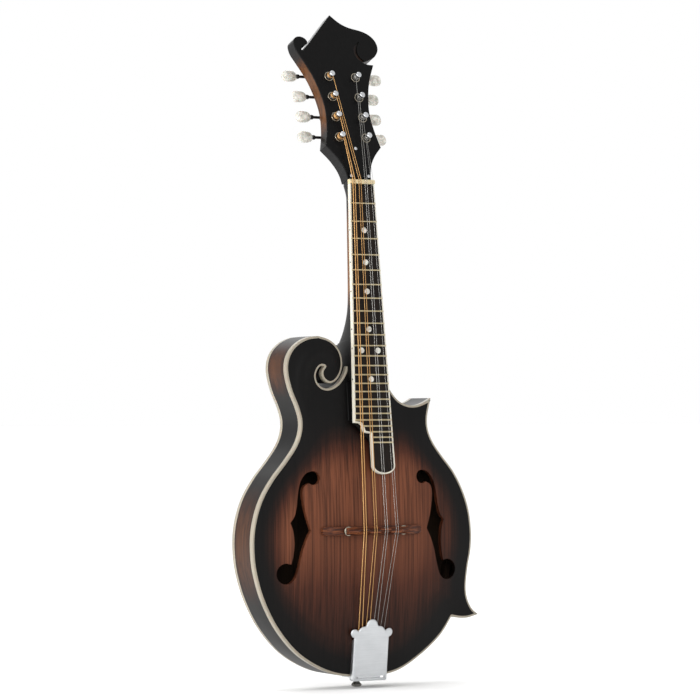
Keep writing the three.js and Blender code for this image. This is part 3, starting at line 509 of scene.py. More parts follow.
def metal_look(name, dark, light, roughness=(0.2, 0.34), stretch=(60, 60, 60), scratches=(900, 900, 60), wear=0.06):
    look = Look(name, metallic=1.0)
    cloud = look.noise(stretch, 3)
    lines = look.noise(scratches, 4, 0.7)
    base = look.mix(cloud, colour(dark), colour(light))
    base = look.mix(0.25, base, look.ramp(lines, [(0.3, 0.6), (0.6, 1.0)]), "MULTIPLY")
    look.bump(lines, wear, 0.00005)
    return look.set(base_color=base, roughness=look.spread(cloud, *roughness))


def wound_look():
    """Bronze wire wound round a core: fine turns across the string."""
    look = Look("wound_string", metallic=1.0)
    turns = look.add("TexWave", {"Vector": look.scaled(1, 0.1, 1), "Scale": 620.0, "Distortion": 0.0},
                     bands_direction="Z", wave_profile="SIN").outputs["Fac"]
    cloud = look.noise((90, 90, 40), 3)
    base = look.mix(look.math("MULTIPLY", cloud, 0.8), colour("#dfb177"), colour("#a97b48"))
    # The colour darkens in the grooves between the turns: painted shade.
    base = look.mix(0.5, base, look.ramp(turns, [(0.0, 0.35), (0.6, 1.0)]), "MULTIPLY")
    look.bump(turns, 0.6, 0.0001)
    return look.set(base_color=base, roughness=look.spread(cloud, 0.28, 0.4))


TOP = top_look()
RIM = rim_look()
NECK = neck_look()
INNER = shaded_inner_look()
BLACK = black_look()
EBONY = black_look("ebony", "#1f1711", "#090706", (0.42, 0.56), 0.12)
ROSEWOOD = rosewood_look()
# The body binding is greyed darker than the board binding's white: painted shade for its less lit front face.
SHADED_IVORY = ivory_look("binding", "#7f776a", "#9d9585")
WHITE = ivory_look("board_binding", "#b9b2a2", "#d6d1c4")
BONE = ivory_look("bone", "#b39f77", "#d1c29c", (0.22, 0.32))
PEARL = pearl_look()
NICKEL = metal_look("nickel", "#a9abae", "#d6d8da")
SATIN = metal_look("satin_nickel", "#b3b6b9", "#d2d4d6", (0.3, 0.42), (40, 40, 40), (60, 60, 1400), 0.1)
DARK_METAL = metal_look("dark_metal", "#2b2a2a", "#4a4949", (0.3, 0.42))
BUSHING = metal_look("bushing_metal", "#7c7568", "#aba394", (0.2, 0.3))
BRASS = metal_look("brass", "#a07a3c", "#cda966", (0.28, 0.4))
# The studs and strap pin are darkened as a painted reflection of dark surroundings, not a dark plating.
CHROME = metal_look("chrome_painted_dark_reflection", "#4c4a47", "#8d8a84", (0.12, 0.22))
GOLD = metal_look("fret_wire", "#a8997a", "#cdbf9a", (0.26, 0.38))
STEEL = metal_look("plain_string", "#8e8c88", "#c4c2bd", (0.2, 0.32))
WOUND = wound_look()

# ---- Body ----

SLOT_WALL = [[-20.5, -186], [-24, -194.5], [-30, -202.4], [-37, -207], [-44, -208.5], [-50.5, -206.3],
             [-55, -201], [-56, -194.5], [-53.3, -188.3], [-49.8, -185.8], [-46.5, -186.2]]
SCROLL_EYE = [[-46.5, -186.2], [-49.2, -189.8], [-49.6, -195], [-46.6, -200.3], [-40.5, -203.3], [-34, -201.2],
              [-29, -195.5], [-26.3, -189], [-25.6, -181.5], [-27.6, -172.5], [-33, -164.5], [-41.5, -158.6],
              [-53, -155.4]]
BASS_SIDE = [[-53, -155.4], [-65, -157], [-76, -162], [-84.5, -170], [-89.3, -180.5], [-89.8, -193], [-85.5, -210],
             [-78, -227], [-74, -241], [-75, -254], [-80.5, -267], [-92, -282.5], [-106.7, -300], [-119.5, -321],
             [-127, -345], [-128.8, -368], [-125.8, -394], [-116.2, -423.5], [-99.4, -453], [-74.2, -479],
             [-38.5, -496.8], [0, TAIL], [34.5, -497.2], [62.5, -482.6], [87, -463], [101.2, -443.8]]
LOWER_POINT = [[101.2, -443.8], [110.5, -445.6], [121, -445.6], [133.6, -442.4]]
WAIST = [[133.6, -442.4], [126, -436.5], [120.4, -426], [118.6, -413], [120.9, -393], [124.6, -374], [125.2, -355],
         [122.3, -334], [115.4, -314], [104.6, -294.5], [89.6, -276.5], [79.6, -263], [74.2, -250], [73.6, -237],
         [77.8, -218.4]]
CUTAWAY = [[77.8, -218.4], [70, -222.6], [60, -225.7], [50, -225.4], [40, -221.2], [32, -213], [26, -203],
           [20.5, -186]]
# The spiral that the scroll's carving follows, from the body up and round into the curl.
SCROLL_RIDGE = [[-70, -232], [-74, -214], [-73, -194], [-66, -178], [-53, -170], [-41, -172], [-35.5, -181],
                [-37, -190], [-41, -192]]

OUTLINE = loop(smooth(SLOT_WALL, 46), smooth(SCROLL_EYE, 54), smooth(BASS_SIDE, 230), smooth(LOWER_POINT, 12),
               smooth(WAIST, 90), smooth(CUTAWAY, 40))


def f_hole(side):
    outer = smooth([[64.7, -291.9], [71, -294.3], [77, -302.5], [80, -314], [82, -328], [84.5, -337], [89, -343.3]], 26)
    outer_low = smooth([[89, -343.3], [86, -352], [85, -365], [86.2, -377], [88.3, -385]], 18)
    inner = smooth([[88, -403.4], [83.5, -398.5], [80, -388], [76, -372], [71.5, -360], [67, -351.4]], 24)
    inner_high = smooth([[67, -351.4], [71, -339], [74, -325], [75, -314], [73, -307], [67.5, -304]], 22)
    line = loop(outer, outer_low, arc(93.2, -394.3, 10.5, 118, -120, 30), inner, inner_high,
                arc(62.9, -298.7, 7, -49, -285, 26))
    return line if side > 0 else (line * [-1, 1])[::-1]


F_HOLES = [f_hole(1), f_hole(-1)]


def stretched_film():
    """The shape of a film stretched over the outline and pushed up: 0 at the edge, 1 at its highest."""
    xs = np.arange(-140, 140 + FILM_CELL, FILM_CELL)
    zs = np.arange(-510, -140 + FILM_CELL, FILM_CELL)
    grid = np.stack(np.meshgrid(xs, zs), -1)
    free = inside(OUTLINE, grid.reshape(-1, 2)).reshape(grid.shape[:2])
    free[[0, -1]] = False
    free[:, [0, -1]] = False
    chequer = np.add.outer(np.arange(len(zs)), np.arange(len(xs))) % 2
    turns = [np.where(free & (chequer == k)) for k in (0, 1)]
    film = np.zeros(free.shape)
    for _ in range(500):
        for r, c in turns:
            around = film[r - 1, c] + film[r + 1, c] + film[r, c - 1] + film[r, c + 1]
            film[r, c] += 1.93 * ((around + FILM_CELL**2) / 4 - film[r, c])
    return film / film.max()


FILM = stretched_film()


def film_at(x, z):
    column = np.clip((np.asarray(x) + 140) / FILM_CELL, 0, FILM.shape[1] - 1.001)
    row = np.clip((np.asarray(z) + 510) / FILM_CELL, 0, FILM.shape[0] - 1.001)
    c, r = column.astype(int), row.astype(int)
    u, v = column - c, row - r
    low = FILM[r, c] * (1 - u) + FILM[r, c + 1] * u
    high = FILM[r + 1, c] * (1 - u) + FILM[r + 1, c + 1] * u
    return low * (1 - v) + high * v


def rise(x, z, arch):
    t = film_at(x, z)
    return arch * (1 + ARCH_HOLLOW) * t * t / (t + ARCH_HOLLOW)


def scroll_rise(x, z):
    """The raised ridge that runs up the scroll and curls into its eye."""
    p = np.column_stack([x, z])
    ridge = smooth(SCROLL_RIDGE, 60)
    away = np.full(len(p), 1e9)
    along = np.zeros(len(p))
    for k, here in enumerate(ridge):
        d = np.linalg.norm(p - here, axis=1)
        along = np.where(d < away, k / 60, along)
        away = np.minimum(away, d)
    edge = np.clip(distance(OUTLINE, p) / 7, 0, 1) ** 2
    height = 2.6 * np.sin(np.pi * np.clip(along * 0.85 + 0.12, 0, 1))
    return height * np.exp(-((away / 6.5) ** 2)) * edge


def top_front(x, z):
    return -rise(x, z, TOP_ARCH) - scroll_rise(x, z)


def top_inside(x, z):
    return PLATE_EDGE - INNER_ARCH * rise(x, z, TOP_ARCH)


def back_outside(x, z):
    return BODY_DEPTH + rise(x, z, BACK_ARCH)


def back_inside(x, z):
    return BODY_DEPTH - PLATE_EDGE + INNER_ARCH * rise(x, z, BACK_ARCH)


def step(value, low, high):
    t = np.clip((value - low) / (high - low), 0, 1)
    return t * t * (3 - 2 * t)


def burst_and_treble_shade(points):
    """0 at the dark edge and over the shoulders, 1 in the middle of the lower bout; the treble side is also darkened as
    painted shade, for light falling from the bass side.
    """
    flat = points[:, [0, 2]]
    edge = distance(OUTLINE, flat)
    low = 1 - 0.5 * step(-flat[:, 1], 350, 460)
    # painted shade: the treble side is darkened as if the light falls from the bass side
    treble = 1 - 0.35 * step(flat[:, 0], 40, 110)
    return step(edge, 1, 38) * step(-flat[:, 1], 225, 300) * low * treble


def body_grid(outer, holes, spacing=3.2):
    low, high = outer.min(0), outer.max(0)
    grid = np.stack(np.meshgrid(*(np.arange(a, b, spacing) for a, b in zip(low, high))), -1).reshape(-1, 2)
    grid = grid[inside(outer, grid) & (distance(outer, grid) > 1.6)]
    for hole in holes:
        grid = grid[~inside(hole, grid) & (distance(hole, grid) > 1.6)]
    return grid


def set_faces(made, look, chosen):
    """Gives some faces of a piece a second look."""
    made.data.materials.append(look)
    for face in made.data.polygons:
        if chosen(face.center / MM):
            face.material_index = 1


def build_plates():
    area = inset(OUTLINE, BINDING_WIDTH)
    soft = [inset(hole[::-1], 0.5)[::-1] for hole in F_HOLES]
    flat, triangles = triangulate(area, F_HOLES, soft, body_grid(area, F_HOLES))
    solid = slab(flat, triangles, top_front, top_inside)
    made = piece("carved_top", solid, TOP, replaces="top_plate", values=burst_and_treble_shade(solid[0]))
    set_faces(made, INNER, lambda c: c.y > top_inside(np.array([c.x]), np.array([c.z]))[0] - 0.4)
    flat, triangles = triangulate(area, (), (), body_grid(area, ()))
    solid = slab(flat, triangles, back_outside, back_inside)
    made = piece("carved_back", solid, RIM, replaces="back_plate", values=burst_and_treble_shade(solid[0]))
    set_faces(made, INNER, lambda c: c.y < back_inside(np.array([c.x]), np.array([c.z]))[0] + 0.4)


def along_outline(rows):
    """Rings along the body's outline: rows are distance inside it and y."""
    places, ways = rays(OUTLINE)
    rings = []
    for by, y in rows:
        p = places + by * ways
        rings.append(np.column_stack([p[:, 0], np.full(len(p), float(y)), p[:, 1]]))
    return rings


def rim_shade(points):
    """The sides are brown over the scroll's outside and the lower bout and black at the waist, points and neck."""
    x, y, z = points.T
    middle = np.array([[-88, -188, 27, 1.0], [-129, -366, 58, 1.0], [-70, -478, 60, 0.3], [20, -500, 60, 0.3],
                       [122, -360, 52, 0.7], [-45, -158, 14, 0.35]])
    light = np.zeros(len(points))
    for cx, cz, reach, strength in middle:
        light = np.maximum(light, strength * np.exp(-((np.hypot(x - cx, z - cz) / reach) ** 2) ** 1.3))
    across = np.clip(np.minimum(y - 5, BODY_DEPTH - 5 - y) / 7, 0, 1)
    return light * (0.62 + 0.38 * across)


def build_rim():
    heights = np.linspace(BINDING_DEPTH, BODY_DEPTH - BINDING_DEPTH, 8)
    rings = along_outline([(0, y) for y in heights] + [(RIM_WALL, heights[-1]), (RIM_WALL, heights[0])])
    solid = lofted(rings, ring_loop=True)
    nodes = ["rim_bass", "rim_tail_treble", "rim_waist", "rim_cutaway"]
    piece("bent_rim", solid, RIM, replaces=nodes, values=rim_shade(solid[0]))
    inner = inset(OUTLINE, RIM_WALL)
    high = inner[(inner[:, 1] > -223) & (inner[:, 0] < 20)]
    area = np.vstack([high, [[-60, -224], [8, -224], [17, -214]]])
    solid = plate(area, BINDING_DEPTH, BODY_DEPTH - BINDING_DEPTH, bevel=(0, 0))
    piece("scroll_block", solid, INNER, replaces="neck_block")


def build_bindings():
    profile = [(BINDING_WIDTH, 0), (1.1, -0.02), (0.55, 0.1), (0.18, 0.45), (0, 1.1), (0, 3), (0, BINDING_DEPTH),
               (BINDING_WIDTH, BINDING_DEPTH)]
    piece("front_binding", lofted(along_outline(profile), ring_loop=True), SHADED_IVORY, replaces="top_binding")
    rows = [(by, BODY_DEPTH - y) for by, y in profile]
    piece("rear_binding", lofted(along_outline(rows), ring_loop=True), SHADED_IVORY, replaces="back_binding")


# ---- Neck ----


def board_half(s):
    return 14.2 + 0.031 * s


def board_edge():
    right = board_half(288)
    half = (right + 2.7) / 2
    end = arc(-2.7 + half, -288, half, 180, 360, 24)
    end[:, 1] = -288 + (end[:, 1] + 288) * 8.5 / half
    step_in = smooth([[-board_half(244), -244], [-15, -245], [-12.5, -247.5], [-11, -252.5], [-9.5, -254], [-2.7, -255]], 22)
    return loop([[-14.2, -0.3]], step_in, end, [[14.2, -0.3]])


def span(ring, z):
    """The lowest and highest x where a closed line crosses a height."""
    a, b = ring, np.roll(ring, -1, axis=0)
    hit = (a[:, 1] > z) != (b[:, 1] > z)
    a, b = a[hit], b[hit]
    x = a[:, 0] + (b[:, 0] - a[:, 0]) * (z - a[:, 1]) / (b[:, 1] - a[:, 1])
    return x.min(), x.max()


def fret_wire(s, ends):
    """A round-topped wire across the board."""
    angle = np.linspace(0, np.pi, 9)
    rings = []
    for x, size in ((ends[0], 0.8), (ends[0] + 0.5, 1), (ends[1] - 0.5, 1), (ends[1], 0.8)):
        ring = np.column_stack([np.full(9, x), -1.0 * size * np.sin(angle), -s + 0.85 * size * np.cos(angle)])
        rings.append(np.vstack([ring, [[x, 0.3, -s - 0.85 * size], [x, 0.3, -s + 0.85 * size]]]))
    return lofted(rings)


def disc(x, s, radius, near, far):
    return plate(circle(x, -s, radius, 28), near, far, bevel=(0.05, 0))


def build_board():
    edge = board_edge()
    wood = inset(edge, BOARD_BINDING)
    solid = on_board(plate(wood, 0, BOARD_THICK, bevel=(0.05, 0)))
    piece("fretted_board", solid, EBONY, replaces="fingerboard")
    frets = [SCALE_LENGTH * (1 - 2 ** (-n / 12)) for n in range(1, 25)]
    wires = []
    for s in frets:
        low, high = span(wood, -s)
        wires.append(fret_wire(s, (low - 0.9, high + 0.9)))
    piece("frets", on_board(both(*wires)), GOLD)
    dots = [(0, 47.5), (0, 80.5), (0, 110.3), (0, 149), (-9.5, 170.7), (9.5, 170.7), (0, 200)]
    piece("position_dots", on_board(both(*(disc(x, s, 3, -0.06, 0.5) for x, s in dots))), PEARL)
    rows = [(BOARD_BINDING, 0), (0.5, 0), (0.12, 0.15), (0, 0.5), (0, BOARD_THICK), (BOARD_BINDING, BOARD_THICK)]
    places, ways = rays(np.where(edge[:, 1:] > -0.5, edge + [0, 2.4], edge))
    rings = [np.column_stack([*(places + by * ways).T[:1], np.full(len(places), float(y)), (places + by * ways)[:, 1]])
             for by, y in rows]
    piece("board_binding", on_board(lofted(rings, ring_loop=True)), WHITE, replaces="fingerboard_binding")
    spots = [both(*(placed(lathe([[0, 0], [0.95, 0], [0.95, 0.06], [0, 0.08]], 16), (-board_half(s), 2.1, -s + way * 2.2 * (s == 170.7)),
                           Matrix.Rotation(math.radians(90), 4, "Z")) for way in ((-1, 1) if s == 170.7 else (1,))))
             for s in (47.5, 80.5, 110.3, 149, 170.7, 200)]
    piece("side_dots", on_board(both(*spots)), BLACK)


def build_riser():
    edge = inset(board_edge(), 0.8)
    support = edge[edge[:, 1] > -246]
    support = np.vstack([support[support[:, 1] < -180], [[19.4, -180], [-19.2, -180]]])
    order = np.argsort(np.arctan2(support[:, 1] + 215, support[:, 0]))
    support = support[order]

    def down_to_top(x, z):
        z_world = z * math.cos(BOARD_TILT)
        return (top_front(x, z_world) + 0.6 - BOARD_Y - z * math.sin(BOARD_TILT)) / math.cos(BOARD_TILT)

    lower = slab(*triangulate(support, (), (), body_grid(support, (), 4)), BOARD_THICK, down_to_top)
    tongue_edge = edge[edge[:, 1] < -243]
    tongue = plate(tongue_edge, BOARD_THICK, BOARD_THICK + 4.2, bevel=(0, 0.5))
    x, z = np.meshgrid([-22.6, -20], np.linspace(-241, -203, 12))
    low = top_front(x.ravel(), z.ravel()).reshape(x.shape)
    ledge = lofted([[[-22.6, b + 0.5, c], [-22.6, b - 1.6, c], [-22.2, b - 2.1, c], [-19, b - 2.3, c], [-19, b + 0.5, c]]
                    for b, c in zip(low[:, 0], z[:, 0])])
    piece("support_ledge", ledge, BLACK)
    piece("board_support", on_board(both(lower, tongue)), BLACK, replaces="fingerboard_riser")


NECK_DEPTHS = [[0, 15], [14, 15.1], [40, 15.6], [80, 16.8], [110, 18.4], [126, 21], [137, 26], [146, 32.5], [153, 39.5], [159, 47],
               [163, 52], [200, 56]]


def neck_ring(half, near, depth, power, z):
    angle = np.linspace(0, np.pi, 41)
    c, n = np.cos(angle), np.sin(angle)
    ring = np.column_stack([half * np.sign(c) * np.abs(c) ** power, near + depth * n**power, np.full(41, float(z))])
    return np.vstack([ring, [[-half, near, z], [half, near, z]]])


def neck_shade(points):
    """Brown along the middle of the neck, black at the heel and the headstock."""
    z = points[:, 2]
    return step(-z, 12, 45) * (1 - step(-z, 105, 140))


def build_neck():
    line = smooth(NECK_DEPTHS, 110)
    rings = []
    for s, depth in line:
        power = 0.3 + 0.7 * step(s, -6, 15) - 0.12 * step(s, 118, 150)
        ring = neck_ring(board_half(s), BOARD_THICK, depth, power, -s)
        rings.append(on_board((ring, []))[0])
    rings = rings[::-1]
    for z, half, power in ((5, 13.4, 0.45), (10, 13.9, 0.42), (16, 14.6, 0.4), (22, 15.9, 0.36), (28, 18, 0.34)):
        depth = HEAD_THICK - OVERLAY - 0.9 + 1.3 * (1 - step(z, 4, 24))
        rings.append(on_head((neck_ring(half, OVERLAY, depth, power, z), []))[0])
    points, faces = lofted(rings)
    low = points[:, 2] < -186.3
    points[low, 1] = np.minimum(points[low, 1], BODY_DEPTH - 0.4)
    points[:, 1] = np.minimum(points[:, 1], BODY_DEPTH - 0.3)
    piece("neck_shaft", (points, faces), NECK, replaces="neck", values=neck_shade(points))
    cap = plate(np.array([[-17, -186.5], [17, -186.5], [16, -172], [9, -163.5], [-9, -163.5], [-16, -172]]), 0, 1.2)
    piece("heel_cap", placed(cap, (0, BODY_DEPTH - 0.5, 0)), BLACK)


def head_line():
    right = smooth([[13.2, HEAD_START], [14.2, 13], [17, 22.5], [23, 32.5], [31.5, 42]], 16)
    right_side = smooth([[31.5, 42], [27.4, 60], [25.2, 79], [27, 96.5], [31.6, 116], [40, 135.6]], 30)
    notch = smooth([[40, 135.6], [33.5, 136], [27.5, 137.8]], 6)
    crown = smooth([[27.5, 137.8], [33, 140], [42.5, 144.6], [48.4, 153], [47.8, 162], [42, 169.4], [32.5, 174],
                    [17.5, 177.5], [7.5, 182.4], [-2, 190.5]], 44)
    eye = smooth([[-31.8, 157.2], [-35.1, 153.6], [-37.9, 150.2], [-40.1, 148.4], [-41.8, 148.8], [-42.1, 150.6],
                  [-41.2, 152.5], [-38.8, 153.7], [-35.9, 155], [-33.6, 156.9]], 34)
    left_lobe = smooth([[-33.6, 156.9], [-33.8, 159.1], [-35.5, 161.5], [-38.7, 163.4], [-42.4, 163.9],
                        [-46.3, 162.9], [-48.9, 160.3], [-49.8, 156.8], [-48.6, 149], [-43.6, 139.5], [-36.6, 126],
                        [-31.6, 113], [-27.4, 96.5], [-25.8, 80], [-28, 60], [-32.5, 42]], 70)
    left = smooth([[-32.5, 42], [-23.5, 31.5], [-17.5, 21.5], [-14.6, 13], [-13.6, HEAD_START]], 18)
    return loop(right, right_side, notch, crown, eye, left_lobe, left)


def curl_groove():
    """The crescent cut that makes the curl on the headstock's treble lobe."""
    outer = smooth([[27.8, 138.7], [22.8, 142], [19.7, 148.4], [20.6, 155.6], [28.2, 162]], 18)
    inner = smooth([[28.2, 162], [24.4, 156], [23.2, 149.5], [25.8, 143.6], [29.8, 140.4]], 18)
    return loop(outer, inner)[::-1]


def head_shade(points):
    s = (points[:, 2] * math.cos(HEAD_TILT) - (HEAD_Y - points[:, 1]) * math.sin(HEAD_TILT))
    return 0.85 * step(s, 42, 74) * (1 - step(s, 128, 152))


def build_head():
    line = head_line()
    core = plate(line, OVERLAY, HEAD_THICK, bevel=(0.02, 0.9))
    points, faces = on_head(core)
    piece("headstock_core", (points, faces), NECK, values=head_shade(points))
    veneer = plate(line, 0, OVERLAY + 0.05, [curl_groove()], bevel=(0.45, 0))
    piece("headstock_veneer", on_head(veneer), BLACK, replaces="headstock_overlay")
    side = smooth([[12.2, 6.2], [12, 11], [9.6, 17.5], [6.8, 25], [5.2, 33], [4.6, 38], [3.2, 41.6], [0, 43.2]], 40)
    cover = loop(side, (side * [-1, 1])[::-1])
    piece("truss_cover", on_head(plate(cover, -1.7, -0.02, bevel=(0.5, 0))), BLACK, replaces="truss_rod_cover")
    screws = [screw((x, -1.7, z), 1.7) for x, z in ((0.4, 39), (-10, 8.4), (10, 8.4))]
    piece("cover_screws", on_head(both(*screws)), NICKEL)


def screw(at, radius, facing=None):
    """A domed screw head with a cross cut in it, standing out towards local -Y."""
    dome = lathe([[radius, 0.1], [radius, -0.15], [radius * 0.86, -0.42], [radius * 0.5, -0.62], [0, -0.68]], 24)
    wide, narrow = radius * 0.55, radius * 0.14
    cross = [block((-wide, wide), (-0.76, -0.3), (-narrow, narrow), 0.03), block((-narrow, narrow), (-0.76, -0.3), (-wide, wide), 0.03)]
    return placed(both(dome, *cross), at, facing)


def build_nut():
    rows = []
    for x, size in ((-14.5, 0.9), (-14.1, 1), (14.1, 1), (14.5, 0.9)):
        y = np.array([4.3, -0.6, -1.25, -1.45, -1.1, 0.3, 4.3]) * size
        z = np.array([0.3, 0.3, 0.9, 2.2, 3.8, 4.9, 4.9])
        rows.append(np.column_stack([np.full(7, x), y, z]))
    piece("bone_nut", on_board(lofted(rows)), BONE, replaces="nut")


# ---- Tuners ----

SIDES = {"bass": -1, "treble": 1}
STRINGS = [("G1", -1, 0), ("G2", -1, 1), ("D1", -1, 2), ("D2", -1, 3), ("A1", 1, 3), ("A2", 1, 2), ("E1", 1, 1), ("E2", 1, 0)]
STRING_RADII = {"G": 0.48, "D": 0.33, "A": 0.2, "E": 0.15}


def post(x, z):
    shape = [[0, 24.2], [2.4, 24.2], [3, 23.8], [3, -1.4], [2.75, -2], [2.75, -6.9], [3, -7.3], [3, -8.5], [2.5, -9.1],
             [1.6, -9.3], [0, -9.3]]
    return placed(lathe(shape, 28), (x, 0, z))


def gear(x, z):
    teeth = lambda angle, radius, height: 1 + 0.05 * np.sign(np.sin(angle * 16)) * (radius > 4)
    shape = [[0, 19.4], [4.6, 19.4], [5, 19.8], [5, 22.9], [4.6, 23.3], [0, 23.3]]
    return placed(lathe(shape, 128, teeth), (x, 0, z))


def winding(x, z, side, radius):
    """The turns of a string on its post, ending where it leaves for the nut."""
    leave = math.atan2(-1, -side)
    turns = np.linspace(0, 3.6 if radius < 0.4 else 3.2, 90)
    angle = leave - side * 2 * np.pi * turns
    r = 2.75 + radius
    path = np.column_stack([x + r * np.cos(angle), -5.0 + 2.15 * radius * turns - 0.0, z + r * np.sin(angle)])
    return tube(path, radius, 8)


def button(side, k, z):
    """A pearl button: an oval that is broad at its outer end and drawn in at its collar."""
    half = 8.7
    u = -np.cos(np.linspace(0, np.pi, 23))
    width = np.clip(1 - np.abs(u) ** 3.2, 0, 1) ** 0.5 * (1 + 0.06 * u)
    rings = []
    angle = np.linspace(0, 2 * np.pi, 36, endpoint=False)
    for place, w in zip(u, width):
        w = max(w, 0.02)
        around = np.sign(np.cos(angle)) * np.abs(np.cos(angle)) ** 0.85, np.sign(np.sin(angle)) * np.abs(np.sin(angle)) ** 0.85
        x = side * (BUTTON_CENTRES[k] + half * place)
        rings.append(np.column_stack([np.full(36, x), WORM_DEPTH + 3.8 * w * around[0], z + 6.2 * w * around[1]]))
    return lofted(rings)


def spindle(side, k, z):
    inner = BUTTON_CENTRES[k] - 8.7
    turn = Matrix.Rotation(math.radians(-90 * side), 4, "Z")
    rod = lathe([[0, POST_X - 5.9], [1.5, POST_X - 5.9], [1.5, inner - 2.6], [2.3, inner - 2.4], [2.5, inner - 0.6],
                 [2.1, inner + 1.2], [0, inner + 1.2]], 24)
    thread = lambda angle, radius, height: 1 + 0.13 * np.cos(angle - height * 2 * np.pi / 1.9)
    worm_line = [[0, -3.6]] + [[2.25, h] for h in np.linspace(-3.6, 3.6, 46)] + [[0, 3.6]]
    worm = lathe([[r, POST_X + h] for r, h in worm_line], 28, thread)
    return placed(rod, (0, WORM_DEPTH, z), turn), placed(worm, (0, WORM_DEPTH, z), turn)


def tuner_plate(side):
    low, high = POST_FIRST - 8, POST_FIRST + 3 * POST_PITCH + 16
    line = loop(arc(side * POST_X, high - 6.2, 6.2, 0, 180, 16), arc(side * POST_X, low + 6.2, 6.2, 180, 360, 16))
    parts = [plate(line, HEAD_THICK, HEAD_THICK + 1.4, bevel=(0, 0.35))]
    back = Matrix.Rotation(math.pi, 4, "X")
    for k in range(4):
        z = POST_FIRST + POST_PITCH * k
        worm = z + WORM_OFFSET
        for x in (POST_X - 4.6, POST_X + 4.6):
            ear = plate(loop([[-3.2, 0], [3.2, 0]], arc(0, WORM_DEPTH - HEAD_THICK, 3.2, 0, 180, 14)), -0.55, 0.55, bevel=(0.2, 0.2))
            points, faces = ear
            points = np.column_stack([side * x + points[:, 1], HEAD_THICK + 1 + points[:, 2] - 0.2, worm + points[:, 0]])
            parts.append((points, faces))
        parts.append(screw((side * POST_X, 23.4, z), 2, back))
        parts.append(screw((side * POST_X, HEAD_THICK + 1.4, z - POST_PITCH / 2 + 4.2 if k else low + 3), 1.5, back))
    parts.append(screw((side * POST_X, HEAD_THICK + 1.4, high - 3), 1.5, back))
    return both(*parts)


def build_tuners():
    for hand, side in SIDES.items():
        piece(f"tuner_strip_{hand}", on_head(tuner_plate(side)), NICKEL, replaces=f"tuner_plate_{hand}")
        for k in range(4):
            z = POST_FIRST + POST_PITCH * k
            worm = z + WORM_OFFSET
            tag = f"{hand}_{k + 1}"
            bushing = lathe([[3.9, 0.1], [5.2, 0.1], [5.2, -0.35], [4.9, -0.75], [4.2, -0.75], [3.9, -0.35]], 36)
            bushing = (bushing[0], bushing[1][:-2] + [[(i + 1) % 36, i, 180 + i, 180 + (i + 1) % 36] for i in range(36)])
            piece(f"bushing_{tag}", on_head(placed(bushing, (side * POST_X, 0, z))), BUSHING)
            body = f"tuner_post_{tag}"
            piece(f"post_{tag}", on_head(both(post(side * POST_X, z), gear(side * POST_X, z))), NICKEL, body, body)
            # A black rod through the post stands in for the string hole: painted shade, not a real part.
            hole = placed(lathe([[0, -2.82], [0.75, -2.82], [0.75, 2.82], [0, 2.82]], 14), (side * POST_X, -6.1, z),
                          Matrix.Rotation(math.pi / 2, 4, "X"))
            piece(f"post_hole_shade_{tag}", on_head(hole), BLACK, body)
            name = next(n for n, s, place in STRINGS if s == side and place == k)
            radius = STRING_RADII[name[0]]
            look, kind = (WOUND, "wound_string") if name[0] in "GD" else (STEEL, "plain_string")
            piece(f"winding_{name}", on_head(winding(side * POST_X, z, side, radius)), look, body)
            body = f"tuner_button_{tag}"
            rod, worm_solid = spindle(side, k, worm)
            piece(f"button_{tag}", on_head(button(side, k, worm)), PEARL, body, body)
            piece(f"shaft_{tag}", on_head(rod), DARK_METAL, body)
            piece(f"worm_{tag}", on_head(worm_solid), NICKEL, body)


# ---- Bridge ----


def bridge_top(x):
    shape = smooth([[-57, -13.2], [-52, -13.9], [-45, -16.4], [-38, -17.6], [-30, -17.6], [-16, -16.8], [0, -16.2],
                    [16, -16.8], [30, -17.6], [38, -17.6], [45, -16.4], [52, -13.9], [57, -13.2]], 120)
    return np.interp(x, shape[:, 0], shape[:, 1])


def build_bridge():
    rings = []
    for x in np.linspace(-57, 57, 115):
        top = bridge_top(x)
        end = 1 - 0.35 * step(abs(x), 54, 57)
        half = 4.5 * end
        z = np.array([-half, -half, -half + 0.5, -half + 1.4, half - 1.4, half - 0.5, half, half])
        low = top_front(np.full(2, x + BRIDGE_X), BRIDGE_Z + np.array([-half, half])) + 0.25
        y = np.array([low[0], top + 1.3, top + 0.45, top, top, top + 0.45, top + 1.3, low[1]])
        rings.append(np.column_stack([np.full(8, x + BRIDGE_X), y, BRIDGE_Z + z]))
    piece("bridge_base", lofted(rings), ROSEWOOD, replaces="bridge_foot")
    thread = lambda angle, radius, height: 1 + 0.05 * np.cos(angle - height * 2 * np.pi / 0.8) * (radius > 1)
    knurl = lambda angle, radius, height: 1 + 0.018 * np.sign(np.sin(angle * 40)) * (radius > 4.4)
    for hand, side in SIDES.items():
        at = (BRIDGE_X + side * STUD_X, 0, BRIDGE_Z)
        line = [[0, -13.4]] + [[1.55, y] for y in np.linspace(-13.4, -24.6, 70)] + [[0, -24.6]]
        piece(f"stud_{hand}", placed(lathe(line, 20, thread), at), CHROME, replaces=f"bridge_stud_{hand}")
        wheel = lathe([[1.75, -21.6], [4.1, -21.6], [4.65, -21.2], [4.65, -19.7], [4.1, -19.3], [1.75, -19.3]], 160, knurl)
        wheel = (wheel[0], [f for f in wheel[1] if len(f) == 4] + [[(i + 1) % 160, i, 5 * 160 + i, 5 * 160 + (i + 1) % 160] for i in range(160)])
        body = f"thumbwheel_{hand}"
        piece(f"wheel_{hand}", placed(wheel, at), BUSHING, body, body)
    build_saddle()


def saddle_top(x):
    shape = smooth([[-34.5, -27.6], [-33.5, -28], [-29, -28.6], [-26.5, -30], [-24, -31.2], [-22.5, -31.4], [0, -31.55],
                    [22.5, -31.4], [24, -31.2], [26.5, -30], [29, -28.6], [33.5, -28], [34.5, -27.6]], 160)
    return np.interp(x, shape[:, 0], shape[:, 1])


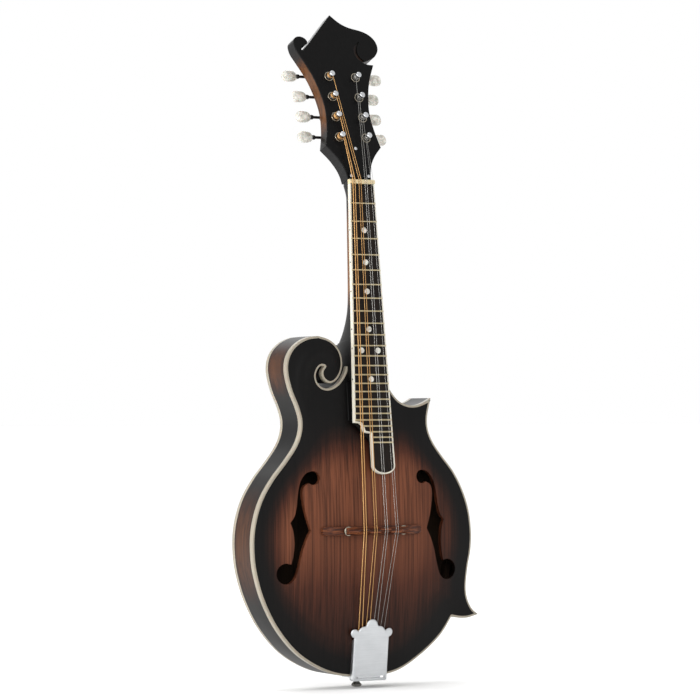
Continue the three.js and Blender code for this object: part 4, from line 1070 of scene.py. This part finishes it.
def build_saddle():
    """A compensated saddle: its crest steps back and forth under the four pairs."""
    rings = []
    for x in np.linspace(-34.5, 34.5, 185):
        top = saddle_top(x)
        crest = 1.25 * np.sign(math.sin((x + 24.8) * math.pi / 12.4)) * step(24.8 - abs(x), 0, 1.5)
        crest *= min(1, abs(math.sin((x + 24.8) * math.pi / 12.4)) * 5)
        shoulder = min(-24.2, top + 6)
        shoulder = max(shoulder, top + 0.8)
        z = np.array([-3.7, -3.7, crest - 1.3, crest - 0.7, crest + 0.7, crest + 1.3, 3.7, 3.7])
        y = np.array([SADDLE_BOTTOM, shoulder, top + 0.9, top, top, top + 0.9, shoulder, SADDLE_BOTTOM])
        rings.append(np.column_stack([np.full(8, x + BRIDGE_X), y, BRIDGE_Z + z]))
    piece("saddle", lofted(rings), ROSEWOOD, "saddle", "bridge_saddle")


# ---- Tailpiece ----


def cover_line():
    cloud = np.array([[5.6, -3.2], [7.2, -6.8], [10.9, -7.4], [14, -9.6], [15.6, -11.6], [18.4, -9.8], [22, -10],
                      [23.9, -13], [23, -16.8], [COVER_HALF, -19]])
    right = smooth(cloud[::-1], 44)
    corner = arc(COVER_HALF - 2, -COVER_LENGTH + 2, 2, -90, 0, 6)
    straight = smooth([[COVER_HALF, -COVER_LENGTH + 2.5], [COVER_HALF, -19.5]], 16)
    peak = smooth([[5.6, -3.2], [3.2, -0.8], [0, 0], [-3.2, -0.8], [-5.6, -3.2]], 16)
    return loop(corner, straight, right, peak, (right * [-1, 1])[::-1], (straight * [-1, 1])[::-1], (corner * [-1, 1])[::-1])


def build_tailpiece():
    line = cover_line()
    places, ways = rays(line)
    skirt = 1.2 + 5.4 * step(-places[:, 1], 19.5, 23)
    rows = [(3, 0.0), (1.5, 0.03), (0.8, 0.2), (0.3, 0.6), (0, 1.2), (0, 99), (0.9, 99), (0.9, 1.5), (1.5, 0.95), (3, 0.95)]
    rings = []
    for by, y in rows:
        p = places + by * ways
        rings.append(np.column_stack([p[:, 0], np.minimum(y, skirt), p[:, 1]]))
    shell = lofted(rings, ends=False)
    inner = np.array([r[[0, 2]] for r in rings[0]])
    low, high = inner.min(0), inner.max(0)
    flat, triangles = triangulate(inset(line, 2.6))
    face = slab(flat, triangles, 0.0, 0.95)
    piece("tail_cover", on_cover(both(shell, face)), SATIN, "tailpiece_cover", "tailpiece_cover", sharp=50)
    bed = block((-17.5, 17.5), (3.6, 4.6), (-58.8, -12), 0.2)
    hooks = []
    for order in range(8):
        x, z = (order - 3.5) * 4.15, (-15.5 if order % 2 else -12)
        hooks.append(placed(lathe([[0, 4.2], [0.8, 4.2], [0.8, 1.9], [0.5, 1.6], [0, 1.6]], 16), (x, 0, z)))
    upper = on_cover(both(bed, *hooks))
    apron = block((COVER_X - 13, COVER_X + 13), (-3.2, 31), (TAIL - 1.7, TAIL - 0.3), 0.3)
    bend = block((COVER_X - 13, COVER_X + 13), (-4.4, -1.2), (TAIL - 1.7, TAIL + 3), 0.5)
    down = Matrix.Rotation(math.radians(90), 4, "X")
    screws = [screw((x, y, TAIL - 1.7), 1.9, down) for x, y in ((-7.3, 6), (9.7, 6), (1.2, 27.5))]
    piece("tail_base", both(upper, apron, bend, *screws), NICKEL, replaces="tailpiece_base")
    pin = lathe([[0, -11.5], [3.4, -11.5], [4.6, -11.1], [5.4, -10.3], [5.4, -9.3], [4.4, -8.3], [3.3, -7], [2.9, -5.2],
                 [3.4, -3.4], [4.4, -2.6], [4.4, -2.1], [2.9, -2.1], [2.9, 13], [0, 13.6]], 40)
    turn = Matrix.Rotation(math.radians(90), 4, "X")
    piece("strap_pin", placed(pin, (0, END_PIN_Y, TAIL), turn), CHROME, replaces="end_pin")


# ---- Strings ----


def build_strings():
    for order, (name, side, k) in enumerate(STRINGS):
        radius = STRING_RADII[name[0]]
        course, pair = order // 2 - 1.5, order % 2 - 0.5
        reach = (2.75 + radius) * math.sqrt(0.5)
        start = on_head((np.array([[side * (POST_X - reach), -5.0, POST_FIRST + POST_PITCH * k - reach]]), []))[0][0]
        x = course * 7.1 + pair * 2.4
        saddle = np.array([BRIDGE_X + course * 12.4 + pair * 2.6, SADDLE_TOP - 0.25 - radius, BRIDGE_Z])
        hook = on_cover((np.array([[(order - 3.5) * 4.15, 2.6, (-15.5 if order % 2 else -12) + 1.1]]), []))[0][0]
        nut_back, nut_front = np.array([x, 2.15 - radius, 5.2]), np.array([x, 1.75 - radius, 0])
        way = (saddle - nut_front) / 90
        upper = [*np.linspace(start, nut_back, 12), *(nut_front + way * i for i in range(91))]
        lower = np.linspace(saddle, hook, 24)
        look, kind = (WOUND, "wound_string") if name[0] in "GD" else (STEEL, "plain_string")
        front = piece(f"string_{name}_front", tube(upper, radius), look, None, f"string_{name}", 80)
        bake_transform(front)
        loop_end = np.vstack([lower, lower[-1] + [[0.3, 0.3, -1.2], [0, 0.5, -2.2], [-0.6, 0.5, -1.2]]])
        rear = piece(f"string_{name}_rear", tube(loop_end, radius), look, None, None, 80)
        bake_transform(rear)


# ---- Kept CAD nodes ----

KEPT = {"top_lining": INNER, "back_lining": INNER, "tail_block": INNER, "lower_point_block": INNER,
        "upper_point_block": INNER, "tone_bar_bass": INNER, "tone_bar_treble": INNER, "truss_rod": DARK_METAL,
        "truss_rod_nut": BRASS}


def dress_kept():
    for name, look in KEPT.items():
        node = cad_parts[name]
        node.data.materials.clear()
        node.data.materials.append(look)


# ---- Floor, light and camera ----


def build_stage():
    floor_look = Look("floor", specular_ior_level=0.2)
    cloud = floor_look.noise((3, 3, 3), 3)
    floor_look.set(base_color=floor_look.mix(cloud, colour("#f4f4f3"), colour("#fafafa")), roughness=floor_look.spread(cloud, 0.7, 0.8))
    bpy.ops.mesh.primitive_circle_add(vertices=96, radius=60, fill_type="NGON", location=(0, 0, -0.5132))
    floor = bpy.context.object
    floor.name = "floor"
    floor.data.materials.append(floor_look.material)
    world = bpy.data.worlds.new("studio")
    bpy.context.scene.world = world
    world.use_nodes = True
    world.node_tree.nodes["Background"].inputs["Color"].default_value = (1, 1, 1, 1)
    world.node_tree.nodes["Background"].inputs["Strength"].default_value = 1.0
    overhead = bpy.data.lights.new("overhead", "SUN")
    overhead.energy = 0.5
    overhead.angle = math.radians(40)
    bpy.context.scene.collection.objects.link(bpy.data.objects.new("overhead", overhead))
    lights = [("key", (-1.3, -2.6, 0.6), 1.4, 24), ("left", (-2.7, 0.4, 0.1), 1.6, 70), ("back", (0.6, 2.2, 1.4), 1.8, 16)]
    for name, place, size, power in lights:
        data = bpy.data.lights.new(name, "AREA")
        data.size = size
        data.energy = power
        lamp = bpy.data.objects.new(name, data)
        lamp.location = place
        lamp.rotation_mode = "QUATERNION"
        lamp.rotation_quaternion = (Vector((0, 0, -0.17)) - Vector(place)).to_track_quat("-Z", "Y")
        bpy.context.scene.collection.objects.link(lamp)


def build_camera():
    """Looks from the bass side and very slightly from below."""
    turn, lift, roll = math.radians(-28.652), math.radians(-1.140), math.radians(-0.269)
    back = Vector((math.sin(turn) * math.cos(lift), -math.cos(turn) * math.cos(lift), math.sin(lift)))
    right = Vector((math.cos(turn), math.sin(turn), 0))
    up = back.cross(right)
    right, up = right * math.cos(roll) + up * math.sin(roll), up * math.cos(roll) - right * math.sin(roll)
    data = bpy.data.cameras.new("camera")
    data.sensor_width = 36
    data.lens = 160.03
    data.clip_end = 200
    camera = bpy.data.objects.new("camera", data)
    place = back * 3.1708 + right * -0.01406 + up * -0.16933
    camera.matrix_world = Matrix((right, up, back)).transposed().to_4x4()
    camera.location = place
    bpy.context.scene.collection.objects.link(camera)
    bpy.context.scene.camera = camera


build_plates()
build_rim()
build_bindings()
build_board()
build_riser()
build_neck()
build_head()
build_nut()
build_tuners()
build_bridge()
build_tailpiece()
build_strings()
dress_kept()
build_stage()
build_camera()
bpy.context.scene.view_settings.view_transform = "Standard"
